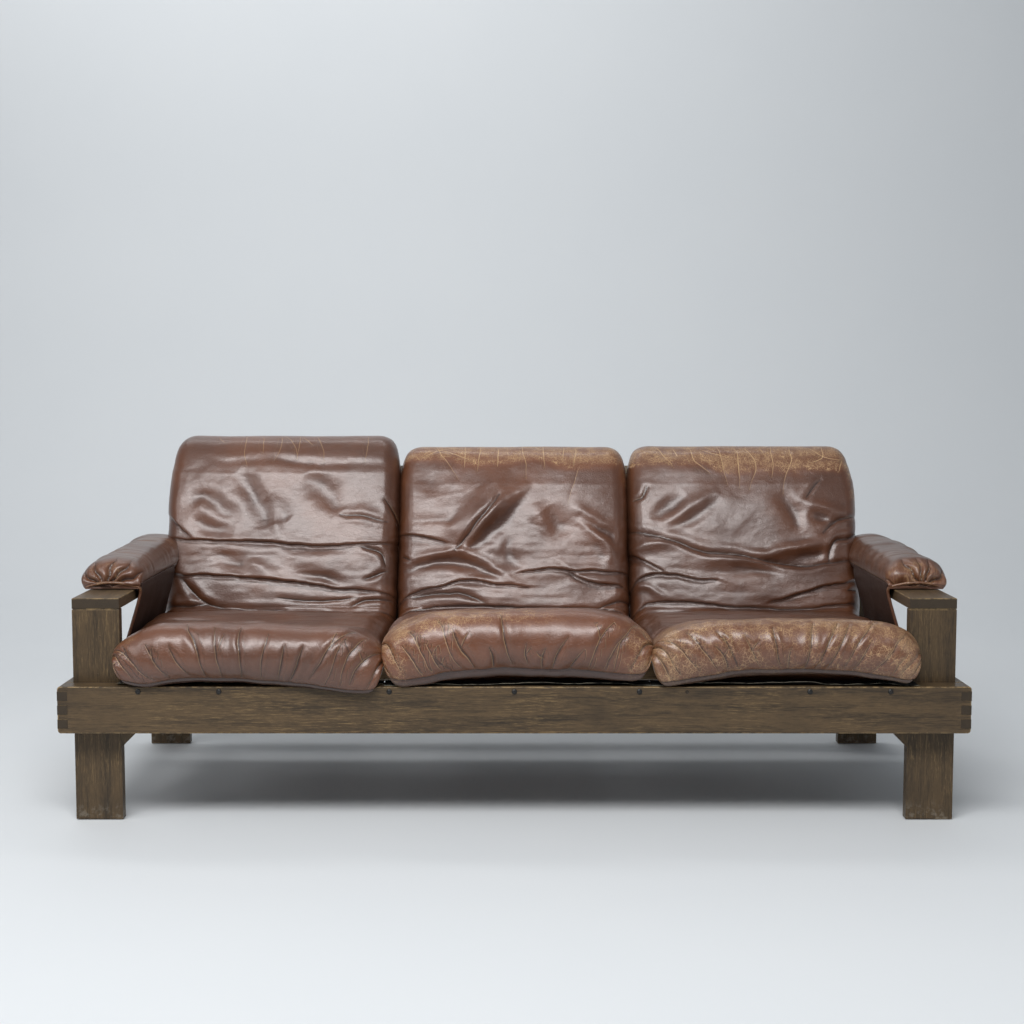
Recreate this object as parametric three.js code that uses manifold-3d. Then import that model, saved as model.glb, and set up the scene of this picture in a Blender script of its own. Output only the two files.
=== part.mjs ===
// Three-seat sofa: a finger-jointed timber frame with plank posts and arm boards, a reclined
// back ladder, webbing, and one-piece seat-and-back leather cushions.
// Millimetres. X runs along the sofa, Y from front to back, Z up from the floor.
import * as THREE from "three";
import { mergeVertices } from "three/addons/utils/BufferGeometryUtils.js";
import Module from "manifold-3d";

// --- Driving dimensions ---------------------------------------------------------------------

const GAP = 0.3; // clearance between touching pieces
const ARRIS = 1.6; // softened edge of every timber piece

const WIDTH = 1960; // over the side rails
const DEPTH = 846; // front face of the front rail to rear face of the rear rail
const RAIL_BOTTOM = 201;
const RAIL_HEIGHT = 102;
const LONG_RAIL_THICK = 50;
const SIDE_RAIL_THICK = 22;
const RAIL_CORNER = 7; // rounding of the rails' outer corners, seen from the front

const FINGER_COUNT = 3;
const FINGER_HEIGHT = 20.6;
const FINGER_WEB = 9.6; // wood of the long rail left between two fingers

const BOARD_THICK = 24;
const POST_WIDTH = 102;
const ARM_HEIGHT = 487; // top of the arm board

const GUSSET_SIDE = 130;
const GUSSET_TOP = 290;

const LEDGER_HEIGHT = 36;
const LEDGER_TOP = 298;
const CROSS_RAIL_FRONT = 648;
const CROSS_RAIL_HEIGHT = 62;
const CROSS_RAIL_TOP = 268;

const SCREW_OFFSETS = [0, 268, 633, 806]; // from the middle of the front rail
const SCREW_HEIGHT = 292.5;
const SCREW_HEAD_RADIUS = 6;
const SCREW_HEAD_HEIGHT = 3.4;
const SCREW_SHANK_RADIUS = 2.1;
const SCREW_LENGTH = 68;

const BAY_PITCH = 582; // from one cushion's middle to the next
const STRAP_WIDTH = 50;
const STRAP_THICK = 3;
const SEAT_STRAP_PITCH = 130;
const BACK_STRAP_PITCH = 260;

const BACK_TILT = THREE.MathUtils.degToRad(22); // recline from the vertical
const BACK_FRAME_FOOT = 205; // height of the ladder's lower edge
const BACK_FRAME_LENGTH = 570; // along the slope
const BACK_STILE_WIDTH = 45;
const BACK_RAIL_WIDTH = 60;

const CUSHION_WIDTH = 566;
const CUSHION_ROLL_FRONT = -38; // the front roll overhangs the front rail
const CUSHION_FOLD_DEPTH = 554; // where seat and back meet
const CUSHION_FOLD_HEIGHT = 380;
const CUSHION_BACK_THICK = 108; // measured along Y
const CUSHION_SIDE_ROUND = 24;
const CUSHIONS = [
  { name: "cushion_left", bay: -1, rollTop: 430, rollBottom: 309, backTop: 812 },
  { name: "cushion_middle", bay: 0, rollTop: 460, rollBottom: 328, backTop: 784 },
  { name: "cushion_right", bay: 1, rollTop: 442, rollBottom: 324, backTop: 784 },
];

const PAD_FRONT = 188;
const PAD_REAR = 762;
const PAD_HEIGHT = 88; // above the arm board
const PAD_OVERHANG = 14; // beyond the arm board's outer edge
const PAD_END_ROUND = 26;

const FLAP_FRONT = 196;
const FLAP_REAR = 548;
const FLAP_THICK = 4;
const FLAP_FOOT = 892; // from the sofa's middle to the flap's lower edge

// --- Places worked out from the driving dimensions ------------------------------------------

const RAIL_TOP = RAIL_BOTTOM + RAIL_HEIGHT;
const POST_OUTER = WIDTH / 2 - SIDE_RAIL_THICK - GAP;
const POST_INNER = POST_OUTER - POST_WIDTH;
const FRONT_POST_Y = LONG_RAIL_THICK + GAP;
const REAR_POST_Y = DEPTH - LONG_RAIL_THICK - GAP - BOARD_THICK;
const ARM_BOARD_BOTTOM = ARM_HEIGHT - BOARD_THICK;
const BACK_SLOPE = Math.tan(BACK_TILT); // run in Y for each unit of Z
const CUSHION_REAR_AT_FOLD = CUSHION_FOLD_DEPTH + CUSHION_BACK_THICK;

// Y of the cushion's rear face at a height.
function cushionRear(z) {
  return CUSHION_REAR_AT_FOLD + (z - CUSHION_FOLD_HEIGHT) * BACK_SLOPE;
}

// Y of the cushion's front face at a height.
function cushionFront(z) {
  return CUSHION_FOLD_DEPTH + (z - CUSHION_FOLD_HEIGHT) * BACK_SLOPE;
}

// --- Materials ------------------------------------------------------------------------------

const FINISHES = {
  timber: { color: 0x5a4f3e, roughness: 0.5, metalness: 0 },
  hidden_timber: { color: 0x7a6a50, roughness: 0.75, metalness: 0 },
  leather: { color: 0x6b4035, roughness: 0.38, metalness: 0 },
  worn_leather: { color: 0x7d4a33, roughness: 0.45, metalness: 0 },
  pad_leather: { color: 0x5f443b, roughness: 0.5, metalness: 0 },
  webbing: { color: 0x2a2623, roughness: 0.9, metalness: 0 },
  steel: { color: 0x4c4a48, roughness: 0.4, metalness: 0.9 },
};

function finish(kind) {
  return new THREE.MeshStandardMaterial(FINISHES[kind]);
}

function piece(name, geometry, kind) {
  const mesh = new THREE.Mesh(geometry, finish(kind));
  mesh.name = name;
  return mesh;
}

// --- Solids ---------------------------------------------------------------------------------

const wasm = await Module();
wasm.setup();

// A closed geometry as a solid that can be joined and cut.
function solid(geometry) {
  const bare = geometry.clone();
  bare.deleteAttribute("normal");
  bare.deleteAttribute("uv");
  const merged = mergeVertices(bare, 1e-4);
  return new wasm.Manifold(
    new wasm.Mesh({
      numProp: 3,
      vertProperties: new Float32Array(merged.attributes.position.array),
      triVerts: new Uint32Array(merged.index.array),
    }),
  );
}

// The geometry of a solid.
function geometryOf(body) {
  const mesh = body.getMesh();
  const geometry = new THREE.BufferGeometry();
  geometry.setAttribute("position", new THREE.BufferAttribute(mesh.vertProperties, 3));
  geometry.setIndex(new THREE.BufferAttribute(mesh.triVerts, 1));
  geometry.computeVertexNormals();
  return geometry;
}

// A timber box between two corners, with its edges softened.
function plank(low, high, arris = ARRIS) {
  const size = high.map((value, i) => value - low[i]);
  const outline = new THREE.Shape();
  outline.moveTo(arris, arris);
  outline.lineTo(size[0] - arris, arris);
  outline.lineTo(size[0] - arris, size[1] - arris);
  outline.lineTo(arris, size[1] - arris);
  outline.closePath();
  const geometry = new THREE.ExtrudeGeometry(outline, {
    depth: size[2] - 2 * arris,
    bevelThickness: arris,
    bevelSize: arris,
    bevelSegments: 2,
  });
  return geometry.translate(low[0], low[1], low[2] + arris);
}

// Turns a profile drawn in (Y, Z) and extruded along Z into the sofa's frame, extruded along X.
function profileToSide(geometry) {
  const turn = new THREE.Matrix4().makeBasis(
    new THREE.Vector3(0, 1, 0),
    new THREE.Vector3(0, 0, 1),
    new THREE.Vector3(1, 0, 0),
  );
  return geometry.applyMatrix4(turn);
}

// Turns a profile drawn in (X, Z) and extruded along Z into the sofa's frame, extruded along Y.
// The extrusion runs towards the front, so callers move it back by its length.
function profileToFront(geometry) {
  return geometry.rotateX(Math.PI / 2);
}

// --- Outer frame ----------------------------------------------------------------------------

// Lower heights of the finger joint's fingers, evenly spread over the rail.
function fingerHeights() {
  const stack = FINGER_COUNT * FINGER_HEIGHT + (FINGER_COUNT - 1) * FINGER_WEB;
  const first = RAIL_BOTTOM + (RAIL_HEIGHT - stack) / 2;
  return Array.from({ length: FINGER_COUNT }, (_, i) => first + i * (FINGER_HEIGHT + FINGER_WEB));
}

// A block as wide and high as the rails, with rounded corners and softened faces.
function railBlock(front, thick, arris) {
  const [x, low, high] = [WIDTH / 2 - arris, RAIL_BOTTOM + arris, RAIL_TOP - arris];
  const round = RAIL_CORNER - arris;
  const outline = new THREE.Shape();
  outline.moveTo(x - round, low);
  outline.absarc(x - round, low + round, round, -Math.PI / 2, 0);
  outline.absarc(x - round, high - round, round, 0, Math.PI / 2);
  outline.absarc(-x + round, high - round, round, Math.PI / 2, Math.PI);
  outline.absarc(-x + round, low + round, round, Math.PI, 1.5 * Math.PI);
  const geometry = new THREE.ExtrudeGeometry(outline, {
    depth: thick - 2 * arris,
    bevelThickness: arris,
    bevelSize: arris,
    bevelSegments: 2,
    curveSegments: 5,
  });
  return profileToFront(geometry).translate(0, front + thick - arris, 0);
}

// A long rail with rounded corners and with sockets for the side rails' fingers.
function longRail(front) {
  let rail = solid(railBlock(front, LONG_RAIL_THICK, 2.4));
  const socketInner = WIDTH / 2 - SIDE_RAIL_THICK - GAP;
  for (const side of [-1, 1]) {
    for (const z of fingerHeights()) {
      const socket = new THREE.BoxGeometry(
        SIDE_RAIL_THICK + 2 * GAP + 10,
        LONG_RAIL_THICK + 20,
        FINGER_HEIGHT + 2 * GAP,
      );
      const middle = side * (socketInner + (SIDE_RAIL_THICK + 2 * GAP + 10) / 2);
      socket.translate(middle, front + LONG_RAIL_THICK / 2, z + FINGER_HEIGHT / 2);
      rail = rail.subtract(solid(socket));
    }
  }
  return rail;
}

// Bores for the screws through whatever stands behind the front rail's face.
function boreForScrews(body) {
  let bored = body;
  for (const x of screwPlaces()) {
    const radius = SCREW_SHANK_RADIUS + GAP;
    const bore = new THREE.CylinderGeometry(radius, radius, 2 * SCREW_LENGTH + 10, 12);
    bore.translate(x, 0, SCREW_HEIGHT);
    bored = bored.subtract(solid(bore));
  }
  return bored;
}

// Screw positions along the front rail.
function screwPlaces() {
  const mirrored = SCREW_OFFSETS.flatMap((x) => (x === 0 ? [0] : [-x, x]));
  return mirrored.sort((a, b) => a - b);
}

// A side rail between the long rails, with fingers that run through them.
function sideRail(side) {
  const outer = WIDTH / 2;
  const inner = outer - SIDE_RAIL_THICK;
  const [x0, x1] = side < 0 ? [-outer, -inner] : [inner, outer];
  const body = plank(
    [x0, LONG_RAIL_THICK + GAP, RAIL_BOTTOM],
    [x1, DEPTH - LONG_RAIL_THICK - GAP, RAIL_TOP],
  );
  let rail = solid(body).intersect(solid(railBlock(-10, DEPTH + 20, 1)));
  for (const z of fingerHeights()) {
    const finger = plank([x0, 0, z], [x1, DEPTH, z + FINGER_HEIGHT], 0.5);
    rail = rail.add(solid(finger));
  }
  return rail;
}

// A plank post from the floor to the arm board.
function post(side, y) {
  const [x0, x1] = side < 0 ? [-POST_OUTER, -POST_INNER] : [POST_INNER, POST_OUTER];
  return plank([x0, y, 0], [x1, y + BOARD_THICK, ARM_BOARD_BOTTOM - GAP]);
}

function armBoard(side) {
  const [x0, x1] = side < 0 ? [-POST_OUTER, -POST_INNER] : [POST_INNER, POST_OUTER];
  const rear = REAR_POST_Y + BOARD_THICK;
  return plank([x0, FRONT_POST_Y, ARM_BOARD_BOTTOM], [x1, rear, ARM_HEIGHT], 2);
}

// A triangular brace in the corner between a post's inner edge and the long rail.
function gusset(side, y) {
  const inner = POST_INNER - GAP;
  const outline = new THREE.Shape();
  outline.moveTo(inner, GUSSET_TOP);
  outline.lineTo(inner, GUSSET_TOP - GUSSET_SIDE);
  outline.lineTo(inner - GUSSET_SIDE, GUSSET_TOP);
  outline.closePath();
  const geometry = new THREE.ExtrudeGeometry(outline, { depth: BOARD_THICK, bevelEnabled: false });
  profileToFront(geometry).translate(0, y + BOARD_THICK, 0);
  return side > 0 ? geometry : geometry.rotateZ(Math.PI).translate(0, 2 * y + BOARD_THICK, 0);
}

function outerFrame() {
  const frame = new THREE.Group();
  const frontRail = boreForScrews(longRail(0));
  frame.add(piece("front_rail", geometryOf(frontRail), "timber"));
  frame.add(piece("rear_rail", geometryOf(longRail(DEPTH - LONG_RAIL_THICK)), "timber"));
  for (const [label, side] of [["left", -1], ["right", 1]]) {
    frame.add(piece(`side_rail_${label}`, geometryOf(sideRail(side)), "timber"));
    frame.add(piece(`front_post_${label}`, post(side, FRONT_POST_Y), "timber"));
    frame.add(piece(`rear_post_${label}`, post(side, REAR_POST_Y), "timber"));
    frame.add(piece(`arm_board_${label}`, armBoard(side), "timber"));
    const frontGusset = boreForScrews(solid(gusset(side, FRONT_POST_Y)));
    frame.add(piece(`front_gusset_${label}`, geometryOf(frontGusset), "timber"));
    frame.add(piece(`rear_gusset_${label}`, gusset(side, REAR_POST_Y), "timber"));
  }
  return frame;
}

// --- Seat deck ------------------------------------------------------------------------------

// A domed screw driven from the front rail's face into what stands behind it.
function screw(x) {
  const rim = SCREW_HEAD_RADIUS;
  const points = [
    new THREE.Vector2(0, -SCREW_LENGTH),
    new THREE.Vector2(SCREW_SHANK_RADIUS, -SCREW_LENGTH + SCREW_SHANK_RADIUS),
    new THREE.Vector2(SCREW_SHANK_RADIUS, GAP),
    new THREE.Vector2(rim, GAP),
    new THREE.Vector2(rim * 0.93, GAP + SCREW_HEAD_HEIGHT * 0.45),
    new THREE.Vector2(rim * 0.6, GAP + SCREW_HEAD_HEIGHT * 0.86),
    new THREE.Vector2(0, GAP + SCREW_HEAD_HEIGHT),
  ];
  const geometry = new THREE.LatheGeometry(points, 14);
  return geometry.rotateX(Math.PI).translate(x, 0, SCREW_HEIGHT);
}

// A strap that rests on the rear edges of the front ledger and the cross rail, sloping down
// to the rear, with a short overlap in front of the ledger's edge.
function seatStrap(x) {
  const overlap = BOARD_THICK - 2;
  const ledgerEdge = new THREE.Vector2(FRONT_POST_Y + BOARD_THICK, LEDGER_TOP + GAP);
  const crossEdge = new THREE.Vector2(CROSS_RAIL_FRONT + BOARD_THICK, CROSS_RAIL_TOP + GAP);
  const run = crossEdge.clone().sub(ledgerEdge);
  const length = run.length() + overlap;
  const geometry = new THREE.BoxGeometry(STRAP_WIDTH, length, STRAP_THICK);
  geometry.translate(0, length / 2 - overlap, STRAP_THICK / 2);
  geometry.rotateX(run.angle());
  return geometry.translate(x, ledgerEdge.x, ledgerEdge.y);
}

// Middles of a bay's straps, spread evenly about the bay's middle.
function strapPlaces(bay, count, pitch) {
  const first = bay * BAY_PITCH * 0.98 - ((count - 1) * pitch) / 2;
  return Array.from({ length: count }, (_, i) => first + i * pitch);
}

function seatDeck() {
  const deck = new THREE.Group();
  const ledgerEnd = POST_INNER - GUSSET_SIDE - 3 * GAP;
  const ledger = plank(
    [-ledgerEnd, FRONT_POST_Y, LEDGER_TOP - LEDGER_HEIGHT],
    [ledgerEnd, FRONT_POST_Y + BOARD_THICK, LEDGER_TOP],
  );
  deck.add(piece("front_ledger", geometryOf(boreForScrews(solid(ledger))), "hidden_timber"));
  const crossEnd = WIDTH / 2 - SIDE_RAIL_THICK - GAP;
  const crossRail = plank(
    [-crossEnd, CROSS_RAIL_FRONT, CROSS_RAIL_TOP - CROSS_RAIL_HEIGHT],
    [crossEnd, CROSS_RAIL_FRONT + BOARD_THICK, CROSS_RAIL_TOP],
  );
  deck.add(piece("seat_cross_rail", crossRail, "hidden_timber"));
  screwPlaces().forEach((x, i) => deck.add(piece(`rail_screw_${i + 1}`, screw(x), "steel")));
  for (const { name, bay } of CUSHIONS) {
    const label = name.replace("cushion_", "seat_strap_");
    strapPlaces(bay, 4, SEAT_STRAP_PITCH).forEach((x, i) =>
      deck.add(piece(`${label}_${i + 1}`, seatStrap(x), "webbing")),
    );
  }
  return deck;
}

// --- Back ladder ----------------------------------------------------------------------------

// The ladder is drawn upright: X along the sofa, Y through its thickness, Z up the slope.
function backLadder() {
  const ladder = new THREE.Group();
  const half = POST_INNER - GAP;
  const railTop = BACK_FRAME_LENGTH;
  const stile = (name, x0, z0, z1) => {
    const geometry = plank([x0, 0, z0], [x0 + BACK_STILE_WIDTH, BOARD_THICK, z1]);
    ladder.add(piece(name, geometry, "hidden_timber"));
  };
  const rail = (name, z0) => {
    const reach = half - BACK_STILE_WIDTH - GAP;
    const geometry = plank([-reach, 0, z0], [reach, BOARD_THICK, z0 + BACK_RAIL_WIDTH]);
    ladder.add(piece(name, geometry, "hidden_timber"));
  };
  stile("back_stile_left", -half, 0, railTop);
  stile("back_stile_right", half - BACK_STILE_WIDTH, 0, railTop);
  rail("back_rail_lower", 0);
  rail("back_rail_top", railTop - BACK_RAIL_WIDTH);
  for (const [label, side] of [["left", -1], ["right", 1]]) {
    const x0 = (side * BAY_PITCH) / 2 - BACK_STILE_WIDTH / 2;
    const foot = BACK_RAIL_WIDTH + GAP;
    stile(`back_divider_${label}`, x0, foot, railTop - BACK_RAIL_WIDTH - GAP);
  }
  for (const { name, bay } of CUSHIONS) {
    const label = name.replace("cushion_", "back_strap_");
    strapPlaces(bay, 2, BACK_STRAP_PITCH).forEach((x, i) => {
      const geometry = new THREE.BoxGeometry(STRAP_WIDTH, STRAP_THICK, railTop - 10);
      geometry.translate(x, -GAP - STRAP_THICK / 2, railTop / 2);
      ladder.add(piece(`${label}_${i + 1}`, geometry, "webbing"));
    });
  }
  ladder.rotation.x = -BACK_TILT;
  ladder.position.set(0, cushionRear(BACK_FRAME_FOOT) + 2 * STRAP_THICK, BACK_FRAME_FOOT);
  return ladder;
}

// --- Cushions -------------------------------------------------------------------------------

// A one-piece cushion's side profile: front roll, seat, fold and reclined back.
function cushionProfile({ rollTop, rollBottom, backTop }) {
  const seatUnder = (y) => LEDGER_TOP + STRAP_THICK + 4 * GAP + 3 - (y - FRONT_POST_Y) * 0.05;
  const cornerDepth = cushionRear(seatUnder(CUSHION_FOLD_DEPTH));
  const shoulder = backTop - 48; // where the top edge starts to round over
  const rollMiddle = (rollTop + rollBottom) / 2;
  const outline = new THREE.Shape();
  outline.moveTo(30, Math.max(rollBottom, seatUnder(30)));
  outline.lineTo(90, seatUnder(90));
  outline.lineTo(cornerDepth - 50, seatUnder(cornerDepth - 50));
  outline.quadraticCurveTo(
    cornerDepth - 4,
    seatUnder(cornerDepth),
    cushionRear(CUSHION_FOLD_HEIGHT - 60),
    CUSHION_FOLD_HEIGHT - 60,
  );
  outline.lineTo(cushionRear(shoulder), shoulder);
  outline.bezierCurveTo(
    cushionRear(backTop) - 6,
    backTop + 4,
    cushionFront(backTop) + 4,
    backTop - 2,
    cushionFront(shoulder),
    shoulder,
  );
  outline.lineTo(cushionFront(CUSHION_FOLD_HEIGHT + 40), CUSHION_FOLD_HEIGHT + 40);
  outline.quadraticCurveTo(
    CUSHION_FOLD_DEPTH,
    CUSHION_FOLD_HEIGHT,
    CUSHION_FOLD_DEPTH - 44,
    CUSHION_FOLD_HEIGHT + 3,
  );
  outline.lineTo(170, rollTop - 32);
  outline.quadraticCurveTo(115, rollTop, 45, rollTop);
  outline.quadraticCurveTo(CUSHION_ROLL_FRONT, rollTop, CUSHION_ROLL_FRONT, rollMiddle);
  outline.quadraticCurveTo(CUSHION_ROLL_FRONT, rollBottom, 30, Math.max(rollBottom, seatUnder(30)));
  return outline;
}

function cushion(shape) {
  const geometry = new THREE.ExtrudeGeometry(cushionProfile(shape), {
    depth: CUSHION_WIDTH - 2 * CUSHION_SIDE_ROUND,
    bevelThickness: CUSHION_SIDE_ROUND,
    bevelSize: CUSHION_SIDE_ROUND,
    bevelOffset: -CUSHION_SIDE_ROUND,
    bevelSegments: 3,
    curveSegments: 6,
  });
  const middle = shape.bay * (CUSHION_WIDTH + 4);
  profileToSide(geometry).translate(middle - CUSHION_WIDTH / 2 + CUSHION_SIDE_ROUND, 0, 0);
  return geometry;
}

// --- Arm pads and their hanging flaps -------------------------------------------------------

// A loaf-shaped pad on top of an arm board, bulging past the board's outer edge.
function armPad(side) {
  const inner = POST_INNER + 1;
  const outer = POST_OUTER + PAD_OVERHANG;
  const bottom = ARM_HEIGHT + GAP;
  const top = ARM_HEIGHT + PAD_HEIGHT;
  const outline = new THREE.Shape();
  outline.moveTo(inner + 24, bottom);
  outline.lineTo(POST_OUTER - 16, bottom);
  outline.quadraticCurveTo(outer, bottom, outer, bottom + 36);
  outline.bezierCurveTo(outer, top - 22, outer - 26, top, (inner + outer) / 2, top);
  outline.bezierCurveTo(inner + 26, top, inner, top - 22, inner, bottom + 34);
  outline.quadraticCurveTo(inner, bottom, inner + 24, bottom);
  const length = PAD_REAR - PAD_FRONT;
  const geometry = new THREE.ExtrudeGeometry(outline, {
    depth: length - 2 * PAD_END_ROUND,
    bevelThickness: PAD_END_ROUND,
    bevelSize: PAD_END_ROUND / 2,
    bevelOffset: -PAD_END_ROUND / 2,
    bevelSegments: 3,
    curveSegments: 8,
  });
  profileToFront(geometry).translate(0, PAD_REAR - PAD_END_ROUND, 0);
  return mirrored(geometry, side);
}

// The leather that hangs from the pad's inner edge, leaning a little outward.
function armFlap(side) {
  const top = new THREE.Vector2(POST_INNER - 5, ARM_HEIGHT + 6);
  const bend = new THREE.Vector2(POST_INNER - 5, ARM_BOARD_BOTTOM - 6);
  const foot = new THREE.Vector2(FLAP_FOOT, RAIL_TOP + 6);
  const outward = foot.clone().sub(bend).normalize();
  const across = new THREE.Vector2(-outward.y, outward.x).multiplyScalar(FLAP_THICK);
  const outline = new THREE.Shape();
  outline.moveTo(top.x, top.y);
  outline.lineTo(bend.x, bend.y);
  outline.lineTo(foot.x, foot.y);
  outline.lineTo(foot.x + across.x, foot.y + across.y);
  outline.lineTo(bend.x + FLAP_THICK, bend.y + FLAP_THICK * 0.6);
  outline.lineTo(top.x + FLAP_THICK, top.y);
  outline.closePath();
  const geometry = new THREE.ExtrudeGeometry(outline, {
    depth: FLAP_REAR - FLAP_FRONT,
    bevelEnabled: false,
  });
  profileToFront(geometry).translate(0, FLAP_REAR, 0);
  return mirrored(geometry, side);
}

// The right-hand geometry, or its mirror image with its faces still pointing out.
function mirrored(geometry, side) {
  if (side > 0) return geometry;
  const left = geometry.index ? geometry.toNonIndexed() : geometry;
  left.scale(-1, 1, 1);
  const position = left.attributes.position;
  const keep = new THREE.Vector3();
  const swap = new THREE.Vector3();
  for (let i = 0; i < position.count; i += 3) {
    keep.fromBufferAttribute(position, i + 1);
    swap.fromBufferAttribute(position, i + 2);
    position.setXYZ(i + 1, swap.x, swap.y, swap.z);
    position.setXYZ(i + 2, keep.x, keep.y, keep.z);
  }
  left.computeVertexNormals();
  return left;
}

function upholstery() {
  const covers = new THREE.Group();
  for (const shape of CUSHIONS) {
    covers.add(piece(shape.name, cushion(shape), shape.bay === 0 ? "worn_leather" : "leather"));
  }
  for (const [label, side] of [["left", -1], ["right", 1]]) {
    covers.add(piece(`arm_pad_${label}`, armPad(side), "pad_leather"));
    covers.add(piece(`arm_flap_${label}`, armFlap(side), "pad_leather"));
  }
  return covers;
}

// --- The sofa -------------------------------------------------------------------------------

// The origin is on the floor below the middle of the whole sofa's box.
const pieces = new THREE.Group();
pieces.add(outerFrame(), seatDeck(), backLadder(), upholstery());
const middle = new THREE.Box3().setFromObject(pieces, true).getCenter(new THREE.Vector3());
pieces.position.set(-middle.x, -middle.y, 0);

const sofa = new THREE.Group();
sofa.name = "sofa";
sofa.add(pieces);

export default sofa;
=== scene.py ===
"""Worn leather sofa: the looks of its timber, leather, webbing and steel."""
import math

import bmesh
import bpy
import numpy as np
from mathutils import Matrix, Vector


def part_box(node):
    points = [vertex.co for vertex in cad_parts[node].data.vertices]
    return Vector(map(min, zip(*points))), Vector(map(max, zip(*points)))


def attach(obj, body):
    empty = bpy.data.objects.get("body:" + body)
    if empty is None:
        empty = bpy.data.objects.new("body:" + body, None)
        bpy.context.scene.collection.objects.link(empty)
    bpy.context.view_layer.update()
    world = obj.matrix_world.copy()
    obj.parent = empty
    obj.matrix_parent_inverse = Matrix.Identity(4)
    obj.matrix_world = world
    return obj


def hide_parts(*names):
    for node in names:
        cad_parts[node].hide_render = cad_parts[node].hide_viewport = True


bl_info = {
    "name": "Worn Leather Sofa",
    "version": (1, 0, 0),
    "blender": (4, 5, 0),
    "location": "View3D > Sidebar > Sofa",
    "description": "Builds the leather, timber and studio of a worn three-seat sofa",
    "category": "Object",
}

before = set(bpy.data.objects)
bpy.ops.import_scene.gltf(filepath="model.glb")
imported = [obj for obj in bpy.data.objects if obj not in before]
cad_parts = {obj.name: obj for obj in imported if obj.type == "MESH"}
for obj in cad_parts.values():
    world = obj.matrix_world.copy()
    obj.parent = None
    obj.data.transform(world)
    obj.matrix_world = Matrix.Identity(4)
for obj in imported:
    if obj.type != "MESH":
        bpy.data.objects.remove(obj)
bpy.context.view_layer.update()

# Places read from the frame, in metres.
RAIL_LOW, RAIL_HIGH = (Vector(corner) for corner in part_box("front_rail"))
FACE_Y = RAIL_LOW.y  # the front rail's face: depths below are measured back from it
RAIL_TOP = RAIL_HIGH.z
BOARD_TOP = Vector(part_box("arm_board_right")[1]).z
MM = 0.001
FAR = 12.0  # millimetres: what a distance attribute holds where no line is near


# --- Sizes and colours a user would change ---------------------------------------------------


class SofaLeather(bpy.types.PropertyGroup):
    hide: bpy.props.FloatVectorProperty(
        name="Hide", description="Colour of the leather where it is sound",
        subtype="COLOR", size=3, default=(0.117, 0.039, 0.014))
    # Painted shade colour for hollows, creases, crevices and under the seam; also seam lines and mottle.
    shade: bpy.props.FloatVectorProperty(
        name="Shade", description="Colour of the leather in its folds",
        subtype="COLOR", size=3, default=(0.018, 0.007, 0.005))
    rubbed: bpy.props.FloatVectorProperty(
        name="Rubbed", description="Colour of the leather where its finish is worn through",
        subtype="COLOR", size=3, default=(0.56, 0.35, 0.175))
    crease_depth: bpy.props.FloatProperty(
        name="Crease depth", description="Strength of all the folds and creases",
        default=1.45, min=0.0, max=2.0)
    grid: bpy.props.FloatProperty(
        name="Grid", description="Spacing of the points that shape a cushion",
        default=3.5 * MM, unit="LENGTH")


class SofaTimber(bpy.types.PropertyGroup):
    stain: bpy.props.FloatVectorProperty(
        name="Stain", description="Colour of the stained timber",
        subtype="COLOR", size=3, default=(0.106, 0.069, 0.036))
    pore: bpy.props.FloatVectorProperty(
        name="Pore", description="Colour of the dark grain lines",
        subtype="COLOR", size=3, default=(0.036, 0.026, 0.017))
    bare: bpy.props.FloatVectorProperty(
        name="Bare", description="Colour of the timber where the stain is worn off",
        subtype="COLOR", size=3, default=(0.38, 0.255, 0.115))


# --- Shader writing --------------------------------------------------------------------------


def maths(operation, swapped=False):
    """A method of Value that adds one Math node."""
    def method(self, *others):
        terms = (*others, self) if swapped else (self, *others)
        return self.finish.node("ShaderNodeMath", {"operation": operation}, dict(enumerate(terms)))[0]
    return method


class Value:
    """A shader socket that Python arithmetic builds on; each operation adds its Math node."""

    def __init__(self, finish, socket):
        self.finish = finish
        self.socket = socket

    __add__, __radd__ = maths("ADD"), maths("ADD", True)
    __sub__, __rsub__ = maths("SUBTRACT"), maths("SUBTRACT", True)
    __mul__, __rmul__ = maths("MULTIPLY"), maths("MULTIPLY", True)
    top, low = maths("MAXIMUM"), maths("MINIMUM")
    size, fraction = maths("ABSOLUTE"), maths("FRACT")

    def step(self, start, end):
        """0 below start, 1 above end, smooth between; start may be the larger."""
        low, high = (start, end) if start < end else (end, start)
        out = self.finish.node(
            "ShaderNodeMapRange", {"interpolation_type": "SMOOTHSTEP"},
            {"Value": self, "From Min": low, "From Max": high})[0]
        return out if start < end else 1 - out


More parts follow.
